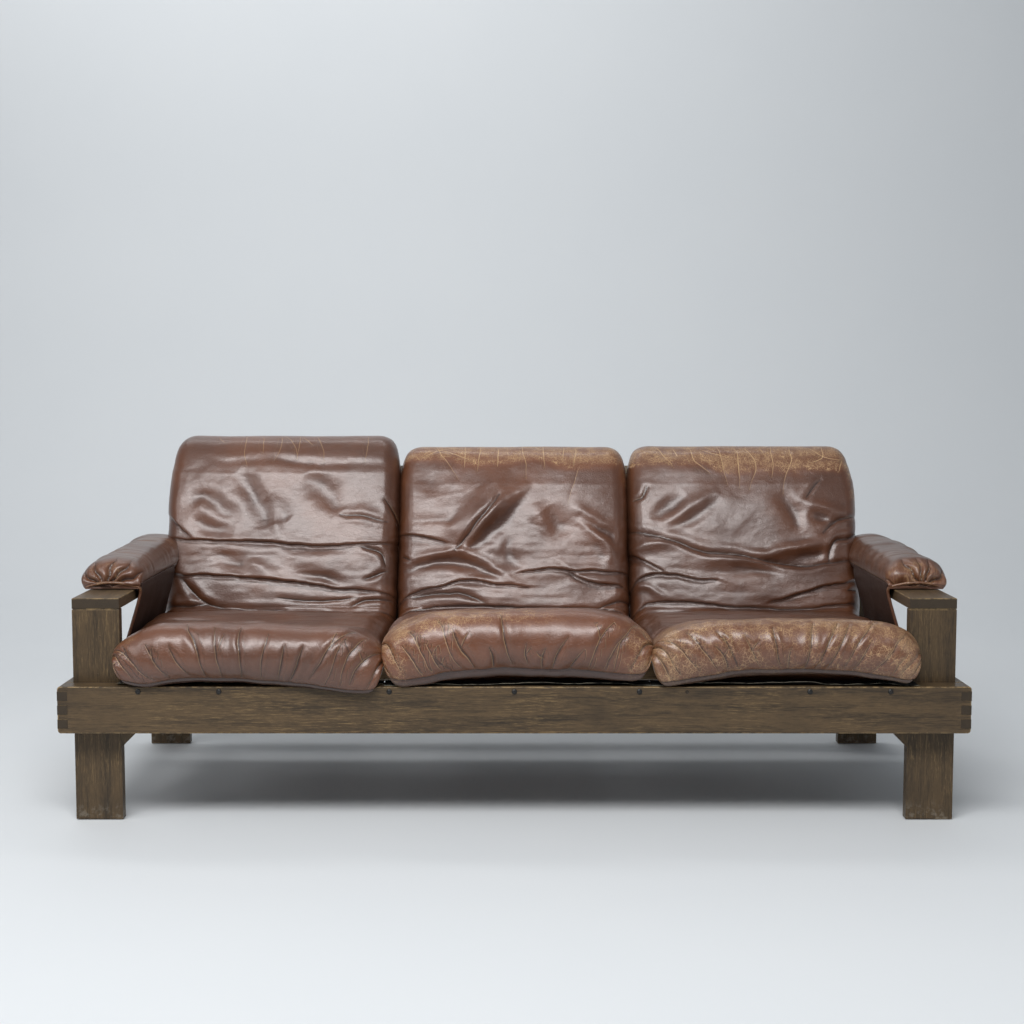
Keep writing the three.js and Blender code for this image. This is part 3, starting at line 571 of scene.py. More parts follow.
# One record for each cushion: places in metres, then its folds. A fold is its kind, its depth and
# width in millimetres, and points as (across, up): -1 to 1 over the width, 0 to 1 up the back.
CUSHIONS = {
    "left": {
        "centre": -0.587, "half": 0.2925, "roll_shift": 0.017, "back_top": 0.812, "bulge": 0.004,
        "seam": 0.316, "lip": 0.0085, "roll_top": 0.431, "roll_ends": (0.12, 0.12), "droop": 0.01,
        "corner": 0.06, "seed": 3, "meets": (0, 1), "tint": (1.0, 1.0, 1.0),
        "seam_line": [(-1, 0.322), (-0.85, 0.319), (-0.77, 0.3115), (-0.68, 0.3105), (-0.59, 0.3155),
                      (-0.49, 0.3195), (-0.33, 0.3205), (-0.09, 0.319), (0.19, 0.315), (0.46, 0.3115),
                      (0.64, 0.305), (0.79, 0.3), (0.9, 0.301), (1, 0.311)],
        "wear": {"band": (0.9, 1.02), "top": 0.4, "left": 0.42, "right": 0.15, "roll": 0.42,
                 "lean": 0.0},
        "folds": [
            ("tuck", 6.5, 6.5, [(-0.99, 0.367), (-0.66, 0.357), (-0.1, 0.344), (0.18, 0.333),
                 (0.61, 0.33), (0.93, 0.342)]),
            ("tuck", 7.0, 7.0, [(-1.0, 0.19), (-0.8, 0.174), (-0.45, 0.161), (-0.1, 0.149),
                 (0.32, 0.122), (0.68, 0.1), (0.96, 0.081)]),
            ("crease", 4.5, 7, [(-0.83, 0.158), (-0.72, 0.081), (-0.59, 0.018), (-0.44, -0.008)]),
            ("crease", 6.0, 7, [(-0.48, -0.005), (-0.24, -0.012), (0.18, -0.03), (0.75, -0.036),
                 (0.98, -0.02)]),
            ("crease", 5.0, 6, [(-1.0, 0.02), (-0.8, 0.01), (-0.59, 0.012)]),
            ("crease", 4.0, 6, [(0.62, 0.0), (0.75, 0.036), (0.96, 0.056)]),
            ("crease", 2.6, 5, [(0.01, 0.055), (0.32, 0.04), (0.68, 0.048)]),
            ("valley", 8.0, 17, [(-0.41, 0.73), (-0.3, 0.65), (-0.18, 0.53), (-0.09, 0.43)]),
            ("ridge", 3.5, 11, [(-0.07, 0.53), (-0.04, 0.44), (0.01, 0.36)]),
            ("valley", 3.5, 19, [(-0.1, 0.6), (-0.01, 0.52), (0.1, 0.48)]),
            ("valley", 6.5, 20, [(0.2, 0.72), (0.39, 0.61), (0.51, 0.51)]),
            ("crease", 2.2, 6, [(0.51, 0.5), (0.75, 0.48), (0.9, 0.46)]),
            ("valley", 6.0, 15, [(-0.92, 0.51), (-0.69, 0.59), (-0.49, 0.52), (-0.32, 0.5)]),
            ("valley", 5.0, 14, [(-0.77, 0.5), (-0.62, 0.43), (-0.38, 0.41)]),
            ("tuck", 4.5, 6, [(-1.0, 0.5), (-0.87, 0.42), (-0.76, 0.37)]),
            ("valley", 2.6, 9, [(-0.66, 0.84), (-0.58, 0.79), (-0.18, 0.81), (0.15, 0.795),
                 (0.39, 0.78), (0.68, 0.774), (1.0, 0.77)]),
            ("valley", 5.0, 16, [(-0.56, 0.32), (-0.46, 0.26), (-0.24, 0.215)]),
            ("ridge", 5.0, 14, [(-0.32, 0.24), (-0.13, 0.2), (0.05, 0.165)]),
            ("valley", 4.5, 9, [(0.1, 0.2), (0.32, 0.18), (0.6, 0.135)]),
            ("crease", 4.0, 6, [(0.72, 0.317), (0.87, 0.29), (0.92, 0.225)]),
            ("crease", 3.5, 6, [(0.73, 0.155), (0.93, 0.197)]),
            ("crease", 3.0, 5, [(0.88, 0.58), (0.96, 0.5), (1.0, 0.42)]),
        ],
        "cracks": [[(-0.35, 0.99), (-0.36, 0.86), (-0.33, 0.76)], [(-0.2, 0.97), (-0.19, 0.83)],
                   [(-0.03, 0.98), (-0.04, 0.87), (-0.08, 0.79)],
                   [(0.0, 1.0), (0.085, 0.89), (0.12, 0.81)], [(0.127, 1.0), (0.11, 0.81)],
                   [(0.27, 0.99), (0.32, 0.88), (0.37, 0.79)], [(0.73, 0.99), (0.71, 0.78)],
                   [(0.16, 0.98), (0.24, 0.9)], [(-0.6, 0.98), (-0.54, 0.92)]],
    },
    "middle": {
        "centre": -0.0015, "half": 0.2925, "roll_shift": 0.008, "back_top": 0.784, "bulge": 0.0,
        "seam": 0.3435, "lip": 0.019, "roll_top": 0.463, "roll_ends": (0.16, 0.15), "droop": 0.013,
        "corner": 0.056, "seed": 11, "meets": (1, 1), "tint": (1.08, 1.04, 0.96),
        "seam_line": [(-1, 0.331), (-0.85, 0.3255), (-0.69, 0.326), (-0.58, 0.333), (-0.48, 0.34),
                      (-0.07, 0.344), (0.4, 0.343), (0.63, 0.338), (0.84, 0.3345), (1, 0.34)],
        "wear": {"band": (0.76, 0.92), "top": 1.0, "left": 0.2, "right": 0.5, "roll": 0.8,
                 "lean": -1.0},
        "folds": [
            ("crease", 4.5, 6, [(-0.11, 0.64), (-0.23, 0.54), (-0.37, 0.42), (-0.49, 0.315)]),
            ("ridge", 8.0, 20, [(-0.15, 0.84), (-0.18, 0.66), (-0.34, 0.52), (-0.5, 0.42),
                 (-0.62, 0.36)]),
            ("ridge", 8.5, 14, [(0.14, 0.72), (-0.1, 0.58), (-0.29, 0.44), (-0.45, 0.32)]),
            ("valley", 8.0, 16, [(0.095, 0.64), (-0.07, 0.5), (-0.23, 0.41), (-0.43, 0.325)]),
            ("tuck", 4.5, 6, [(-0.99, 0.41), (-0.8, 0.4), (-0.58, 0.37)]),
            ("ridge", 5.5, 9, [(-1.0, 0.21), (-0.78, 0.285), (-0.6, 0.31), (-0.46, 0.315),
                 (-0.29, 0.27), (-0.11, 0.215), (0.04, 0.14)]),
            ("valley", 8.0, 12, [(-0.99, 0.2), (-0.78, 0.25), (-0.57, 0.265), (-0.37, 0.25),
                 (-0.2, 0.21), (-0.1, 0.2)]),
            ("tuck", 5.5, 7, [(-1.0, 0.04), (-0.84, 0.085), (-0.64, 0.124), (-0.37, 0.154),
                 (-0.16, 0.134), (0.11, 0.13)]),
            ("crease", 4.5, 7, [(-0.86, 0.06), (-0.6, 0.088), (-0.4, 0.072), (-0.23, 0.022)]),
            ("tuck", 5.5, 7, [(0.05, 0.21), (0.31, 0.224), (0.585, 0.212), (0.74, 0.2), (0.98, 0.205)]),
            ("tuck", 7.0, 8, [(0.49, 0.215), (0.585, 0.17), (0.72, 0.14), (0.93, 0.118)]),
            ("ridge", 6.0, 10, [(0.54, 0.5), (0.72, 0.42), (0.82, 0.32), (0.79, 0.22)]),
            ("ridge", 5.5, 10, [(0.5, 0.58), (0.72, 0.49), (0.88, 0.43)]),
            ("valley", 5.0, 12, [(0.56, 0.54), (0.76, 0.44), (0.9, 0.38)]),
            ("valley", 5.0, 13, [(0.04, 0.5), (-0.03, 0.4), (-0.03, 0.31), (0.06, 0.22)]),
            ("ridge", 4.5, 16, [(0.2, 0.6), (0.27, 0.48), (0.22, 0.42)]),
            ("tuck", 6.0, 7, [(-1.0, -0.05), (-0.75, -0.005), (-0.37, 0.008), (0.18, 0.0), (0.69, 0.0),
                 (1.0, -0.04)]),
            ("crease", 3.5, 6, [(0.7, 0.0), (0.86, 0.04), (1.0, 0.06)]),
            ("valley", 4.0, 20, [(-0.86, 0.84), (-0.72, 0.72), (-0.68, 0.62)]),
            ("valley", 2.0, 9, [(-0.95, 0.5), (-0.7, 0.5), (-0.45, 0.5)]),
            ("crease", 2.5, 5, [(-0.95, 0.29), (-0.86, 0.27)]),
            ("valley", 5.0, 22, [(0.27, 0.56), (0.38, 0.47), (0.5, 0.4)]),
        ],
        "cracks": [[(-0.67, 0.99), (-0.62, 0.89), (-0.48, 0.74)], [(-0.44, 1.0), (-0.43, 0.81)],
                   [(-0.28, 0.99), (-0.3, 0.78)], [(-0.14, 0.97), (-0.14, 0.81)],
                   [(0.09, 0.99), (0.1, 0.74)], [(0.26, 0.98), (0.265, 0.8)],
                   [(0.44, 0.98), (0.43, 0.86)], [(0.54, 0.97), (0.54, 0.82)],
                   [(-0.67, 0.96), (-0.5, 0.91), (-0.36, 0.86)],
                   [(-0.76, 0.9), (-0.6, 0.97), (-0.42, 0.99)], [(0.2, 0.99), (0.24, 0.95)],
                   [(0.58, 0.8), (0.5, 0.66), (0.48, 0.59)]],
    },
    "right": {
        "centre": 0.5805, "half": 0.2895, "roll_shift": 0.001, "back_top": 0.785, "bulge": 0.003,
        "seam": 0.338, "lip": 0.011, "roll_top": 0.442, "roll_ends": (0.12, 0.095), "droop": 0.014,
        "corner": 0.06, "seed": 23, "meets": (1, 0), "tint": (0.92, 0.93, 0.95),
        "seam_line": [(-1, 0.322), (-0.885, 0.318), (-0.72, 0.323), (-0.535, 0.331), (-0.26, 0.336),
                      (0.016, 0.3395), (0.29, 0.3405), (0.57, 0.339), (0.75, 0.336), (0.88, 0.3295),
                      (1, 0.333)],
        "wear": {"band": (0.7, 0.88), "top": 1.0, "left": 0.25, "right": 0.85, "roll": 1.25,
                 "lean": 0.35},
        "folds": [
            ("crease", 4.5, 7, [(-0.99, 0.43), (-0.81, 0.4), (-0.6, 0.37), (-0.36, 0.32), (-0.1, 0.305),
                 (0.11, 0.28), (0.33, 0.247), (0.69, 0.247), (0.92, 0.27)]),
            ("ridge", 7.0, 11, [(0.05, 0.3), (0.33, 0.315), (0.54, 0.345), (0.79, 0.385)]),
            ("valley", 7.5, 12, [(0.12, 0.283), (0.33, 0.275), (0.54, 0.285), (0.74, 0.31)]),
            ("valley", 6.0, 12, [(-0.78, 0.405), (-0.6, 0.475), (-0.41, 0.54), (-0.22, 0.63)]),
            ("ridge", 6.0, 13, [(-0.74, 0.42), (-0.55, 0.52), (-0.36, 0.6), (-0.2, 0.66)]),
            ("valley", 5.0, 14, [(-0.82, 0.5), (-0.68, 0.56), (-0.5, 0.65)]),
            ("ridge", 4.5, 8, [(-0.98, 0.3), (-0.84, 0.35), (-0.62, 0.366)]),
            ("tuck", 4.5, 6, [(-0.99, 0.3), (-0.87, 0.26), (-0.7, 0.205)]),
            ("tuck", 6.5, 7, [(-1.0, 0.12), (-0.89, 0.168), (-0.74, 0.19), (-0.53, 0.18),
                 (-0.26, 0.152)]),
            ("ridge", 4.0, 7, [(-0.97, 0.126), (-0.87, 0.12), (-0.7, 0.055)]),
            ("tuck", 6.0, 7, [(-0.99, -0.01), (-0.86, 0.03), (-0.6, 0.04), (-0.39, 0.03), (-0.17, 0.0),
                 (0.19, 0.0), (0.69, 0.005), (0.9, 0.03), (1.0, 0.03)]),
            ("tuck", 6.0, 7, [(0.19, 0.035), (0.4, 0.08), (0.61, 0.117), (0.83, 0.136), (1.0, 0.168)]),
            ("crease", 4.5, 6, [(0.67, 0.42), (0.81, 0.5), (1.0, 0.52)]),
            ("crease", 3.0, 5, [(0.53, 0.63), (0.6, 0.68), (0.68, 0.73)]),
            ("crease", 5.0, 6, [(0.72, 0.26), (0.775, 0.37), (0.9, 0.385), (1.0, 0.43)]),
            ("valley", 6.5, 16, [(0.3, 0.66), (0.41, 0.54), (0.48, 0.43)]),
            ("ridge", 5.0, 10, [(0.5, 0.6), (0.72, 0.56), (0.88, 0.55)]),
            ("valley", 5.0, 13, [(0.55, 0.56), (0.7, 0.5), (0.8, 0.49)]),
            ("ridge", 5.0, 16, [(-0.5, 0.22), (-0.2, 0.26), (0.2, 0.24)]),
            ("valley", 4.0, 10, [(-0.12, 0.235), (0.1, 0.22), (0.3, 0.2)]),
            ("crease", 3.0, 5, [(-0.95, 0.6), (-0.88, 0.63), (-0.84, 0.7)]),
            ("crease", 3.5, 6, [(-1.0, -0.08), (-0.8, -0.035), (-0.52, -0.024)]),
            ("crease", 3.0, 6, [(0.86, 0.1), (1.0, 0.11)]),
        ],
        "cracks": [[(-0.75, 0.98), (-0.67, 0.87), (-0.6, 0.8)],
                   [(-0.46, 0.97), (-0.41, 0.85), (-0.29, 0.76)],
                   [(-0.19, 0.98), (-0.17, 0.85), (-0.14, 0.7)],
                   [(-0.04, 0.96), (-0.01, 0.83), (-0.04, 0.68)],
                   [(0.04, 0.96), (0.11, 0.85), (0.09, 0.75), (0.05, 0.66)],
                   [(0.29, 0.99), (0.25, 0.74)],
                   [(0.46, 0.99), (0.44, 0.86), (0.37, 0.76), (0.34, 0.65)],
                   [(0.62, 0.98), (0.74, 0.88), (0.9, 0.86)], [(0.74, 0.98), (0.72, 0.88), (0.6, 0.84)],
                   [(0.9, 0.86), (0.84, 0.77)], [(-0.6, 0.95), (-0.56, 0.88)],
                   [(0.17, 0.97), (0.19, 0.92)], [(-0.35, 0.95), (-0.1, 0.88)]],
    },
}


def back_face(z, shift=0.0):
    """Depth of a plane that leans with the back, at a height."""
    return FOLD_DEPTH + shift + (z - FOLD_HEIGHT) * RECLINE


def cushion_outlines(spec, grid):
    """The cushion's upper and lower side outlines, (depth, height), matched point for point."""
    seam, top, lip = spec["seam"], spec["roll_top"], spec["lip"]
    low_turn = math.radians(-55)
    radius = (top - seam) / (1 - math.sin(low_turn))
    core = (radius - 0.038, top - radius)
    turn = np.linspace(low_turn, math.pi / 2, 40)
    roll = np.stack([core[0] - radius * np.cos(turn), core[1] + radius * np.sin(turn)], axis=1)
    hem = (roll[0][0] + 0.009, seam - lip)
    lip_part = [hem, (roll[0][0] + 0.002, seam - 0.6 * lip), tuple(roll[0])]
    seat = [roll[-1], (core[0] + 0.07, top - 0.010), (0.20, top - 0.034), (0.36, 0.402),
            (0.48, 0.388), (0.535, 0.383), (back_face(0.392) - 0.004, 0.392)]
    shoulder = spec["back_top"] - SHOULDER_DROP
    back = [seat[-1], (back_face(0.44) - 0.006, 0.44), (back_face(0.56) - 0.012, 0.56),
            (back_face(0.64) - 0.013, 0.64), (back_face(shoulder) - 0.009, shoulder)]
    crest = spec["back_top"]
    rear_end = (back_face(crest - 0.03, BACK_THICK) - 0.004, crest - 0.03)
    over = [back[-1], (back_face(crest - 0.045) + 0.0015, crest - 0.045),
            (back_face(crest - 0.014) + 0.022, crest - 0.0135),
            (back_face(crest, BACK_THICK * 0.5), crest),
            (back_face(crest, BACK_THICK) - 0.024, crest - 0.006), rear_end]
    sill = RAIL_TOP + 0.0035
    under_lip = [hem, (hem[0] + 0.012, max(sill, hem[1] + 0.004)), (hem[0] + 0.03, max(sill, hem[1]))]
    under = [under_lip[-1], (0.052, sill)]
    deck = [under[-1], (0.16, 0.303), (0.36, 0.2925), (0.56, 0.2825), (0.60, 0.285), (0.645, 0.318)]
    rear = [deck[-1], (back_face(0.40, BACK_THICK), 0.40), (back_face(0.6, BACK_THICK), 0.6),
            (back_face(shoulder, BACK_THICK), shoulder)]
    rear_over = [rear[-1], (back_face(crest - 0.045, BACK_THICK), crest - 0.045), rear_end]
    pairs = [(lip_part, under_lip), (roll, under), (seat, deck), (back, rear), (over, rear_over)]
    upper, lower, marks = [], [], [0]
    for above, below in pairs:
        dense = smooth_path(above, 400) if len(above) < 20 else above
        steps = max(5, round(path_length(dense) / grid))
        upper.append(even_path(dense, steps + 1)[:-1])
        lower.append(smooth_path(below, steps + 1)[:-1])
        marks.append(marks[-1] + steps)
    upper.append([rear_end])
    lower.append([rear_end])
    return np.vstack(upper), np.vstack(lower), marks, np.array(core)


def cushion_sheets(spec, grid):
    """The upper and lower sheets of a cushion as grids of points, with what the folds need."""
    upper_line, lower_line, marks, core = cushion_outlines(spec, grid)
    roll_end, fold, shoulder, end = marks[2:]
    rows = len(upper_line)
    row = np.arange(rows)
    run = np.concatenate([[0], np.cumsum(np.linalg.norm(np.diff(upper_line, axis=0), axis=1))])
    climb = np.clip(row / roll_end, 0, 1)
    on_roll = 1 - ease(row, roll_end * 0.92, roll_end + (fold - roll_end) * 0.38)
    on_back = ease(row, fold - 0.22 * (fold - roll_end), fold + 0.16 * (shoulder - fold))
    near_top = np.clip((row - (shoulder - 10)) / (end - shoulder + 10), 0, 1)
    corner = spec["corner"] * (1 - np.sqrt(np.clip(1 - near_top**2.2, 0, 1)))
    height = upper_line[:, 1]
    bulge = spec["bulge"] * np.exp(-(((height - 0.66) / 0.09) ** 2)) * on_back
    drawn_in = SIDE_ROUND * (1 - np.sqrt(1 - np.clip(1 - climb / 0.5, 0, 1) ** 2))
    half = spec["half"] - corner + bulge - drawn_in - 0.007 * (1 - on_back) * (1 - on_roll)
    side_round = SIDE_ROUND - 0.006 * on_back

    # The line where the two sheets meet: low in the lip, round the roll's core, then mid-thickness.
    from_core = 0.86 * (1 - ease(climb, 0.02, 0.6))
    about_core = core + (upper_line - core) * from_core[:, None]
    middle = lower_line + (upper_line - lower_line) * 0.52
    leave = ease(row, roll_end, roll_end + 0.34 * (fold - roll_end))[:, None]
    hinge = about_core * (1 - leave) + middle * leave

    quarter = np.linspace(0, np.pi / 2, SIDE_STEPS)
    flat = np.linspace(-1, 1, round(FLAT_WIDTH / grid))[1:-1]
    lift = np.concatenate([np.sin(quarter), np.ones(len(flat)), np.sin(quarter[::-1])])
    ends = [side_round + on_roll * (size - side_round) for size in spec["roll_ends"]]
    left = -half[:, None] + ends[0][:, None] * (1 - np.cos(quarter))[None, :]
    right = half[:, None] - ends[1][:, None] * (1 - np.cos(quarter[::-1]))[None, :]
    span = right[:, :1] - left[:, -1:]
    across = np.concatenate(
        [left, (left[:, -1:] + right[:, :1]) / 2 + span / 2 * flat[None, :], right], axis=1)
    share = across / spec["half"]

    # The seam's own rise and fall, and how far down the roll's front it is felt.
    wave_at, wave_height = np.array(spec["seam_line"]).T
    wave = np.interp(share, wave_at, wave_height) - spec["seam"]
    for _ in range(24):
        wave[:, 1:-1] = (wave[:, :-2] + 2 * wave[:, 1:-1] + wave[:, 2:]) / 4
    felt = (1 - ease(climb, 0.10, 0.62))[:, None]
    hem_low = spec["seam"] - spec["lip"] + wave
    forward = 0.009 * np.clip((RAIL_TOP + 0.004 - hem_low) / 0.008, 0, 1) * felt
    droop = on_roll[:, None] * spec["droop"] * np.abs(share) ** 3
    slump = lattice(across * 1000, run[:, None] * 1000 + 0 * across, 170, 130, spec["seed"] + 40)
    pillow = 0.013 * (1 - share**2) + 0.012 * (1 - share**8) - 0.006
    crown = pillow * on_back[:, None] + 0.004 * (1 - on_back[:, None]) * (1 - share**2)
    x = spec["centre"] + across + on_roll[:, None] * spec["roll_shift"]

    sheets = []
    for line, is_upper in ((upper_line, True), (lower_line, False)):
        target = hinge[:, None, :] + (line - hinge)[:, None, :] * lift[None, :, None]
        swell = (crown + slump * 0.004) * is_upper
        depth = target[:, :, 0] - swell * on_back[:, None] - forward
        rise = target[:, :, 1] - droop + wave * felt + swell * (1 - on_back[:, None])
        sheets.append(np.stack([x, FACE_Y + depth, rise], axis=-1))
    rim = 0.5 * (sheets[0] + sheets[1])
    for sheet in sheets:
        sheet[[0, -1], :] = rim[[0, -1], :]
        sheet[:, [0, -1]] = rim[:, [0, -1]]
    zones = {"roll": on_roll[:, None], "back": on_back[:, None], "climb": climb[:, None]}
    return sheets, across, run, marks, zones


def sheet_normals(points):
    normal = np.cross(np.gradient(points, axis=1), np.gradient(points, axis=0))
    return normal / np.maximum(np.linalg.norm(normal, axis=-1, keepdims=True), 1e-9)


def roll_creases(spec, rng):
    """Creases that run up from the roll's seam, their tops leaning out towards its ends."""
    creases = []
    across = -0.93
    while across < 0.93:
        length = rng.uniform(45, 150)
        lean = math.tanh(across * 2.4) * rng.uniform(0.40, 0.95) * length + rng.uniform(-8, 8)
        start = rng.uniform(3, 16)
        bend = rng.uniform(-4, 4)
        creases.append((rng.uniform(1.8, 4.4), rng.uniform(3.2, 6.5), [
            (across, start, 0.0), (across, start + length * 0.5, lean * 0.45 + bend),
            (across, start + length, lean)]))
        if rng.random() < 0.35:  # a short branch
            creases.append((rng.uniform(0.9, 1.8), 3.2, [
                (across, start + length * 0.55, lean * 0.5),
                (across, start + length * 0.85, lean * 0.5 - rng.choice([-1, 1]) * rng.uniform(9, 18))]))
        across += rng.uniform(0.055, 0.15)
    return creases


def back_reach(run, marks):
    """The length up the back that the heights of folds and wear are shares of."""
    return (run[marks[4]] - run[marks[3]]) + ROUND_OVER * (run[marks[5]] - run[marks[4]])


def cushion_folds(spec, across, run, marks, zones):
    """Heights of the folds over the upper sheet in metres, and its crease and crack lines."""
    strength = bpy.context.scene.sofa_leather.crease_depth
    fold_run, seed = run[marks[3]], spec["seed"]
    reach = 1000 * back_reach(run, marks)
    half = spec["half"] * 1000
    x0 = across * 1000
    y0 = (run[:, None] - fold_run) * 1000 + 0 * across
    x = x0 + lattice(x0, y0, 60, 60, seed + 9) * 5 + lattice(x0, y0, 17, 17, seed + 19)
    y = y0 + lattice(x0, y0, 55, 45, seed + 5) * 4 + lattice(x0, y0, 19, 19, seed + 15)
    height = np.zeros_like(x)
    creases, cracks = LineStore(x.shape), LineStore(x.shape)

    def add_fold(kind, depth, width, points, count):
        rise, line = fold_height(kind, depth, width, smooth_path(points, count), x, y)
        height[:] += rise
        if line is not None:
            creases.add(line)

    for kind, depth, width, points in spec["folds"]:
        add_fold(kind, depth * strength, width, [(a * half, b * reach) for a, b in points], 24)
    for points in spec["cracks"]:
        d, along = stroke_field(smooth_path([(a * half, b * reach) for a, b in points], 14), x, y)
        fade = np.sin(np.pi * np.clip(along * 0.9 + 0.08, 0, 1)) ** 0.5
        height -= 0.8 * fade * np.exp(-((d / 3.4) ** 2))
        cracks.add(d / np.maximum(fade, 0.12))
    rng = np.random.default_rng(seed)
    seam_y = (run[marks[1]] - fold_run) * 1000
    for depth, width, points in roll_creases(spec, rng):
        path = [(a * half + dx, seam_y + up) for a, up, dx in points]
        add_fold("crease", depth * strength, width, path, 10)
    for _ in range(8):  # fine creases over the seat, behind the roll
        start, up = rng.uniform(-0.95, 0.6) * half, seam_y + rng.uniform(200, 470)
        length = rng.uniform(60, 190)
        path = [(start, up), (start + length / 2, up + rng.uniform(-7, 7)),
                (start + length, up + rng.uniform(-12, 12))]
        add_fold("crease", rng.uniform(1.2, 2.6), rng.uniform(4, 6), path, 10)

    # Ripples: the zone, each cell's width and height, its seed, its size, and if it runs slantwise.
    on_back, on_roll = zones["back"], zones["roll"]
    low_back, high_back = on_back * (1 - ease(y, 120, 230)), on_back * ease(y, 120, 230)
    seat = (1 - on_back) * (1 - on_roll)
    for zone, wide, tall, number, size, slant in (
            (low_back, 120, 30, 1, 2.2, False), (low_back, 42, 12, 2, 0.55, False),
            (high_back, 120, 90, 3, 2.6, False), (high_back, 52, 38, 4, 0.55, True),
            (on_back, 17, 12, 14, 0.16, True), (on_back, 26, 9, 16, 0.16, False),
            (seat, 130, 30, 6, 2.6, False), (seat, 40, 13, 7, 0.7, False),
            (on_roll, 30, 95, 8, 1.5, False), (on_roll, 75, 60, 12, 3.0, False)):
        u, v = (x + y, y - x) if slant else (x, y)
        height += zone * lattice(u, v, wide, tall, seed + number) * size

    seam = y0 - seam_y
    height -= 1.5 * np.exp(-((seam / 2.2) ** 2)) - 0.7 * np.exp(-(((seam - 4.5) / 3.0) ** 2))
    row, column = np.arange(x.shape[0])[:, None], np.arange(x.shape[1])[None, :]
    from_rim = np.minimum.reduce(np.broadcast_arrays(
        column, x.shape[1] - 1 - column, row + 4, x.shape[0] - 1 - row))
    height *= 1 - 0.6 * ease(y, reach * 0.86, reach)
    return height * ease(from_rim, 0, 6) * MM, creases, cracks, np.clip(seam, -FAR, FAR)


def cushion_wear(spec, across, run, marks, zones):
    """How far the finish is worn, 0 to 1, over a cushion's upper sheet."""
    worn = spec["wear"]
    share = across / spec["half"]
    up = ((run - run[marks[3]]) / back_reach(run, marks))[:, None] + 0 * across
    wobble = lattice(across * 1000, up * 400, 80, 45, spec["seed"] + 21) * 0.045
    band = ease(up + wobble, *worn["band"]) * worn["top"]
    left = ease(-share, 0.80, 1.0) * worn["left"] * ease(up, 0.25, 0.7)
    right = ease(share, 0.84, 1.0) * worn["right"] * ease(up, 0.3, 0.7)
    climb = zones["climb"]
    crown = ease(climb, 0.55, 0.85) * zones["roll"]
    ends = ease(np.abs(share), 0.62, 1.0) * zones["roll"]
    side = 0.5 + 0.5 * np.clip(share * worn["lean"] * 2.2, -1, 1)
    roll = zones["roll"] * worn["roll"] * (0.42 + 0.62 * crown * side + 0.40 * ends)
    return np.clip(np.maximum.reduce([band, left, right, roll]), 0, 1)


def zip_rows(long_row, short_row):
    """Triangles between two rows of points that have different counts."""
    faces = []
    i, j, n, m = 0, 0, len(long_row) - 1, len(short_row) - 1
    while i < n or j < m:
        if j == m or (i < n and (i + 1) * m <= (j + 1) * n):
            faces.append((long_row[i], long_row[i + 1], short_row[j]))
            i += 1
        else:
            faces.append((long_row[i], short_row[j + 1], short_row[j]))
            j += 1
    return faces


def join_sheets(upper, lower):
    """One closed shell of a fine upper sheet and a lower one with half as many rows and columns."""
    rows, columns = upper.shape[:2]
    fine = np.arange(rows * columns).reshape(rows, columns)
    keep_rows, keep_columns = np.arange(1, rows - 1, 2), np.arange(2, columns - 2, 2)
    coarse_points = lower[np.ix_(keep_rows, keep_columns)]
    coarse = rows * columns + np.arange(coarse_points.shape[0] * coarse_points.shape[1])
    coarse = coarse.reshape(coarse_points.shape[:2])
    faces = quads_of(fine) + quads_of(coarse)
    for long_row, short_row in ((fine[0], coarse[0]), (fine[:, -1], coarse[:, -1]),
                                (fine[-1], coarse[-1]), (fine[:, 0], coarse[:, 0])):
        faces += zip_rows(long_row, short_row)
    points = np.vstack([upper.reshape(-1, 3), coarse_points.reshape(-1, 3)])
    return points, faces, (keep_rows, keep_columns)


def leather_marks(count, **given):
    """The leather attributes of a number of points; where one is short or not given, it is plain."""
    marks = {"wear": np.zeros(count), "hollow": np.zeros(count), "seam": np.full(count, FAR),
             "creases": np.full((count, 3), FAR), "cracks": np.full((count, 3), FAR)}
    for name, values in given.items():
        values = np.reshape(values, (-1, *marks[name].shape[1:]))
        marks[name][:len(values)] = values
    return marks


def build_cushion(side, spec):
    grid = bpy.context.scene.sofa_leather.grid
    (upper, lower), across, run, marks, zones = cushion_sheets(spec, grid)
    height, creases, cracks, seam = cushion_folds(spec, across, run, marks, zones)
    # Painted shade: darker in the folds' hollows and in the crevice where the cushion meets a neighbour.
    hollow = np.clip((blur(height, 30) - height) * 1000 / 2.2, 0, 1)
    for sign, meets in zip((-1, 1), spec["meets"]):
        crevice_shade = ease(sign * across / spec["half"], 0.945, 1.0) * (1 - 0.7 * zones["roll"])
        hollow = np.maximum(hollow, crevice_shade * meets)
    shaped = upper + sheet_normals(upper) * height[:, :, None]
    points, faces, kept = join_sheets(shaped, lower)
    flat = np.stack([across, run[:, None] + 0 * across], axis=-1)
    return make_piece(
        f"cushion_{side}_leather", points, faces,
        uv=np.vstack([flat.reshape(-1, 2), flat[np.ix_(*kept)].reshape(-1, 2) + (0, 3.0)]),
        attributes=leather_marks(
            len(points), wear=cushion_wear(spec, across, run, marks, zones), hollow=hollow, seam=seam,
            creases=creases.columns(), cracks=cracks.columns()))


class SOFA_OT_cushions(bpy.types.Operator):
    """Make the three seat-and-back cushions"""

    bl_idname = "sofa.cushions"
    bl_label = "Cushions"

    def execute(self, context):
        for side, spec in CUSHIONS.items():
            piece = build_cushion(side, spec)
            dress(piece, leather_finish(f"leather_{side}", spec["tint"]))
            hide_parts(f"cushion_{side}")
        return {"FINISHED"}


# --- Arm pads, their hems and flaps -----------------------------------------------------------

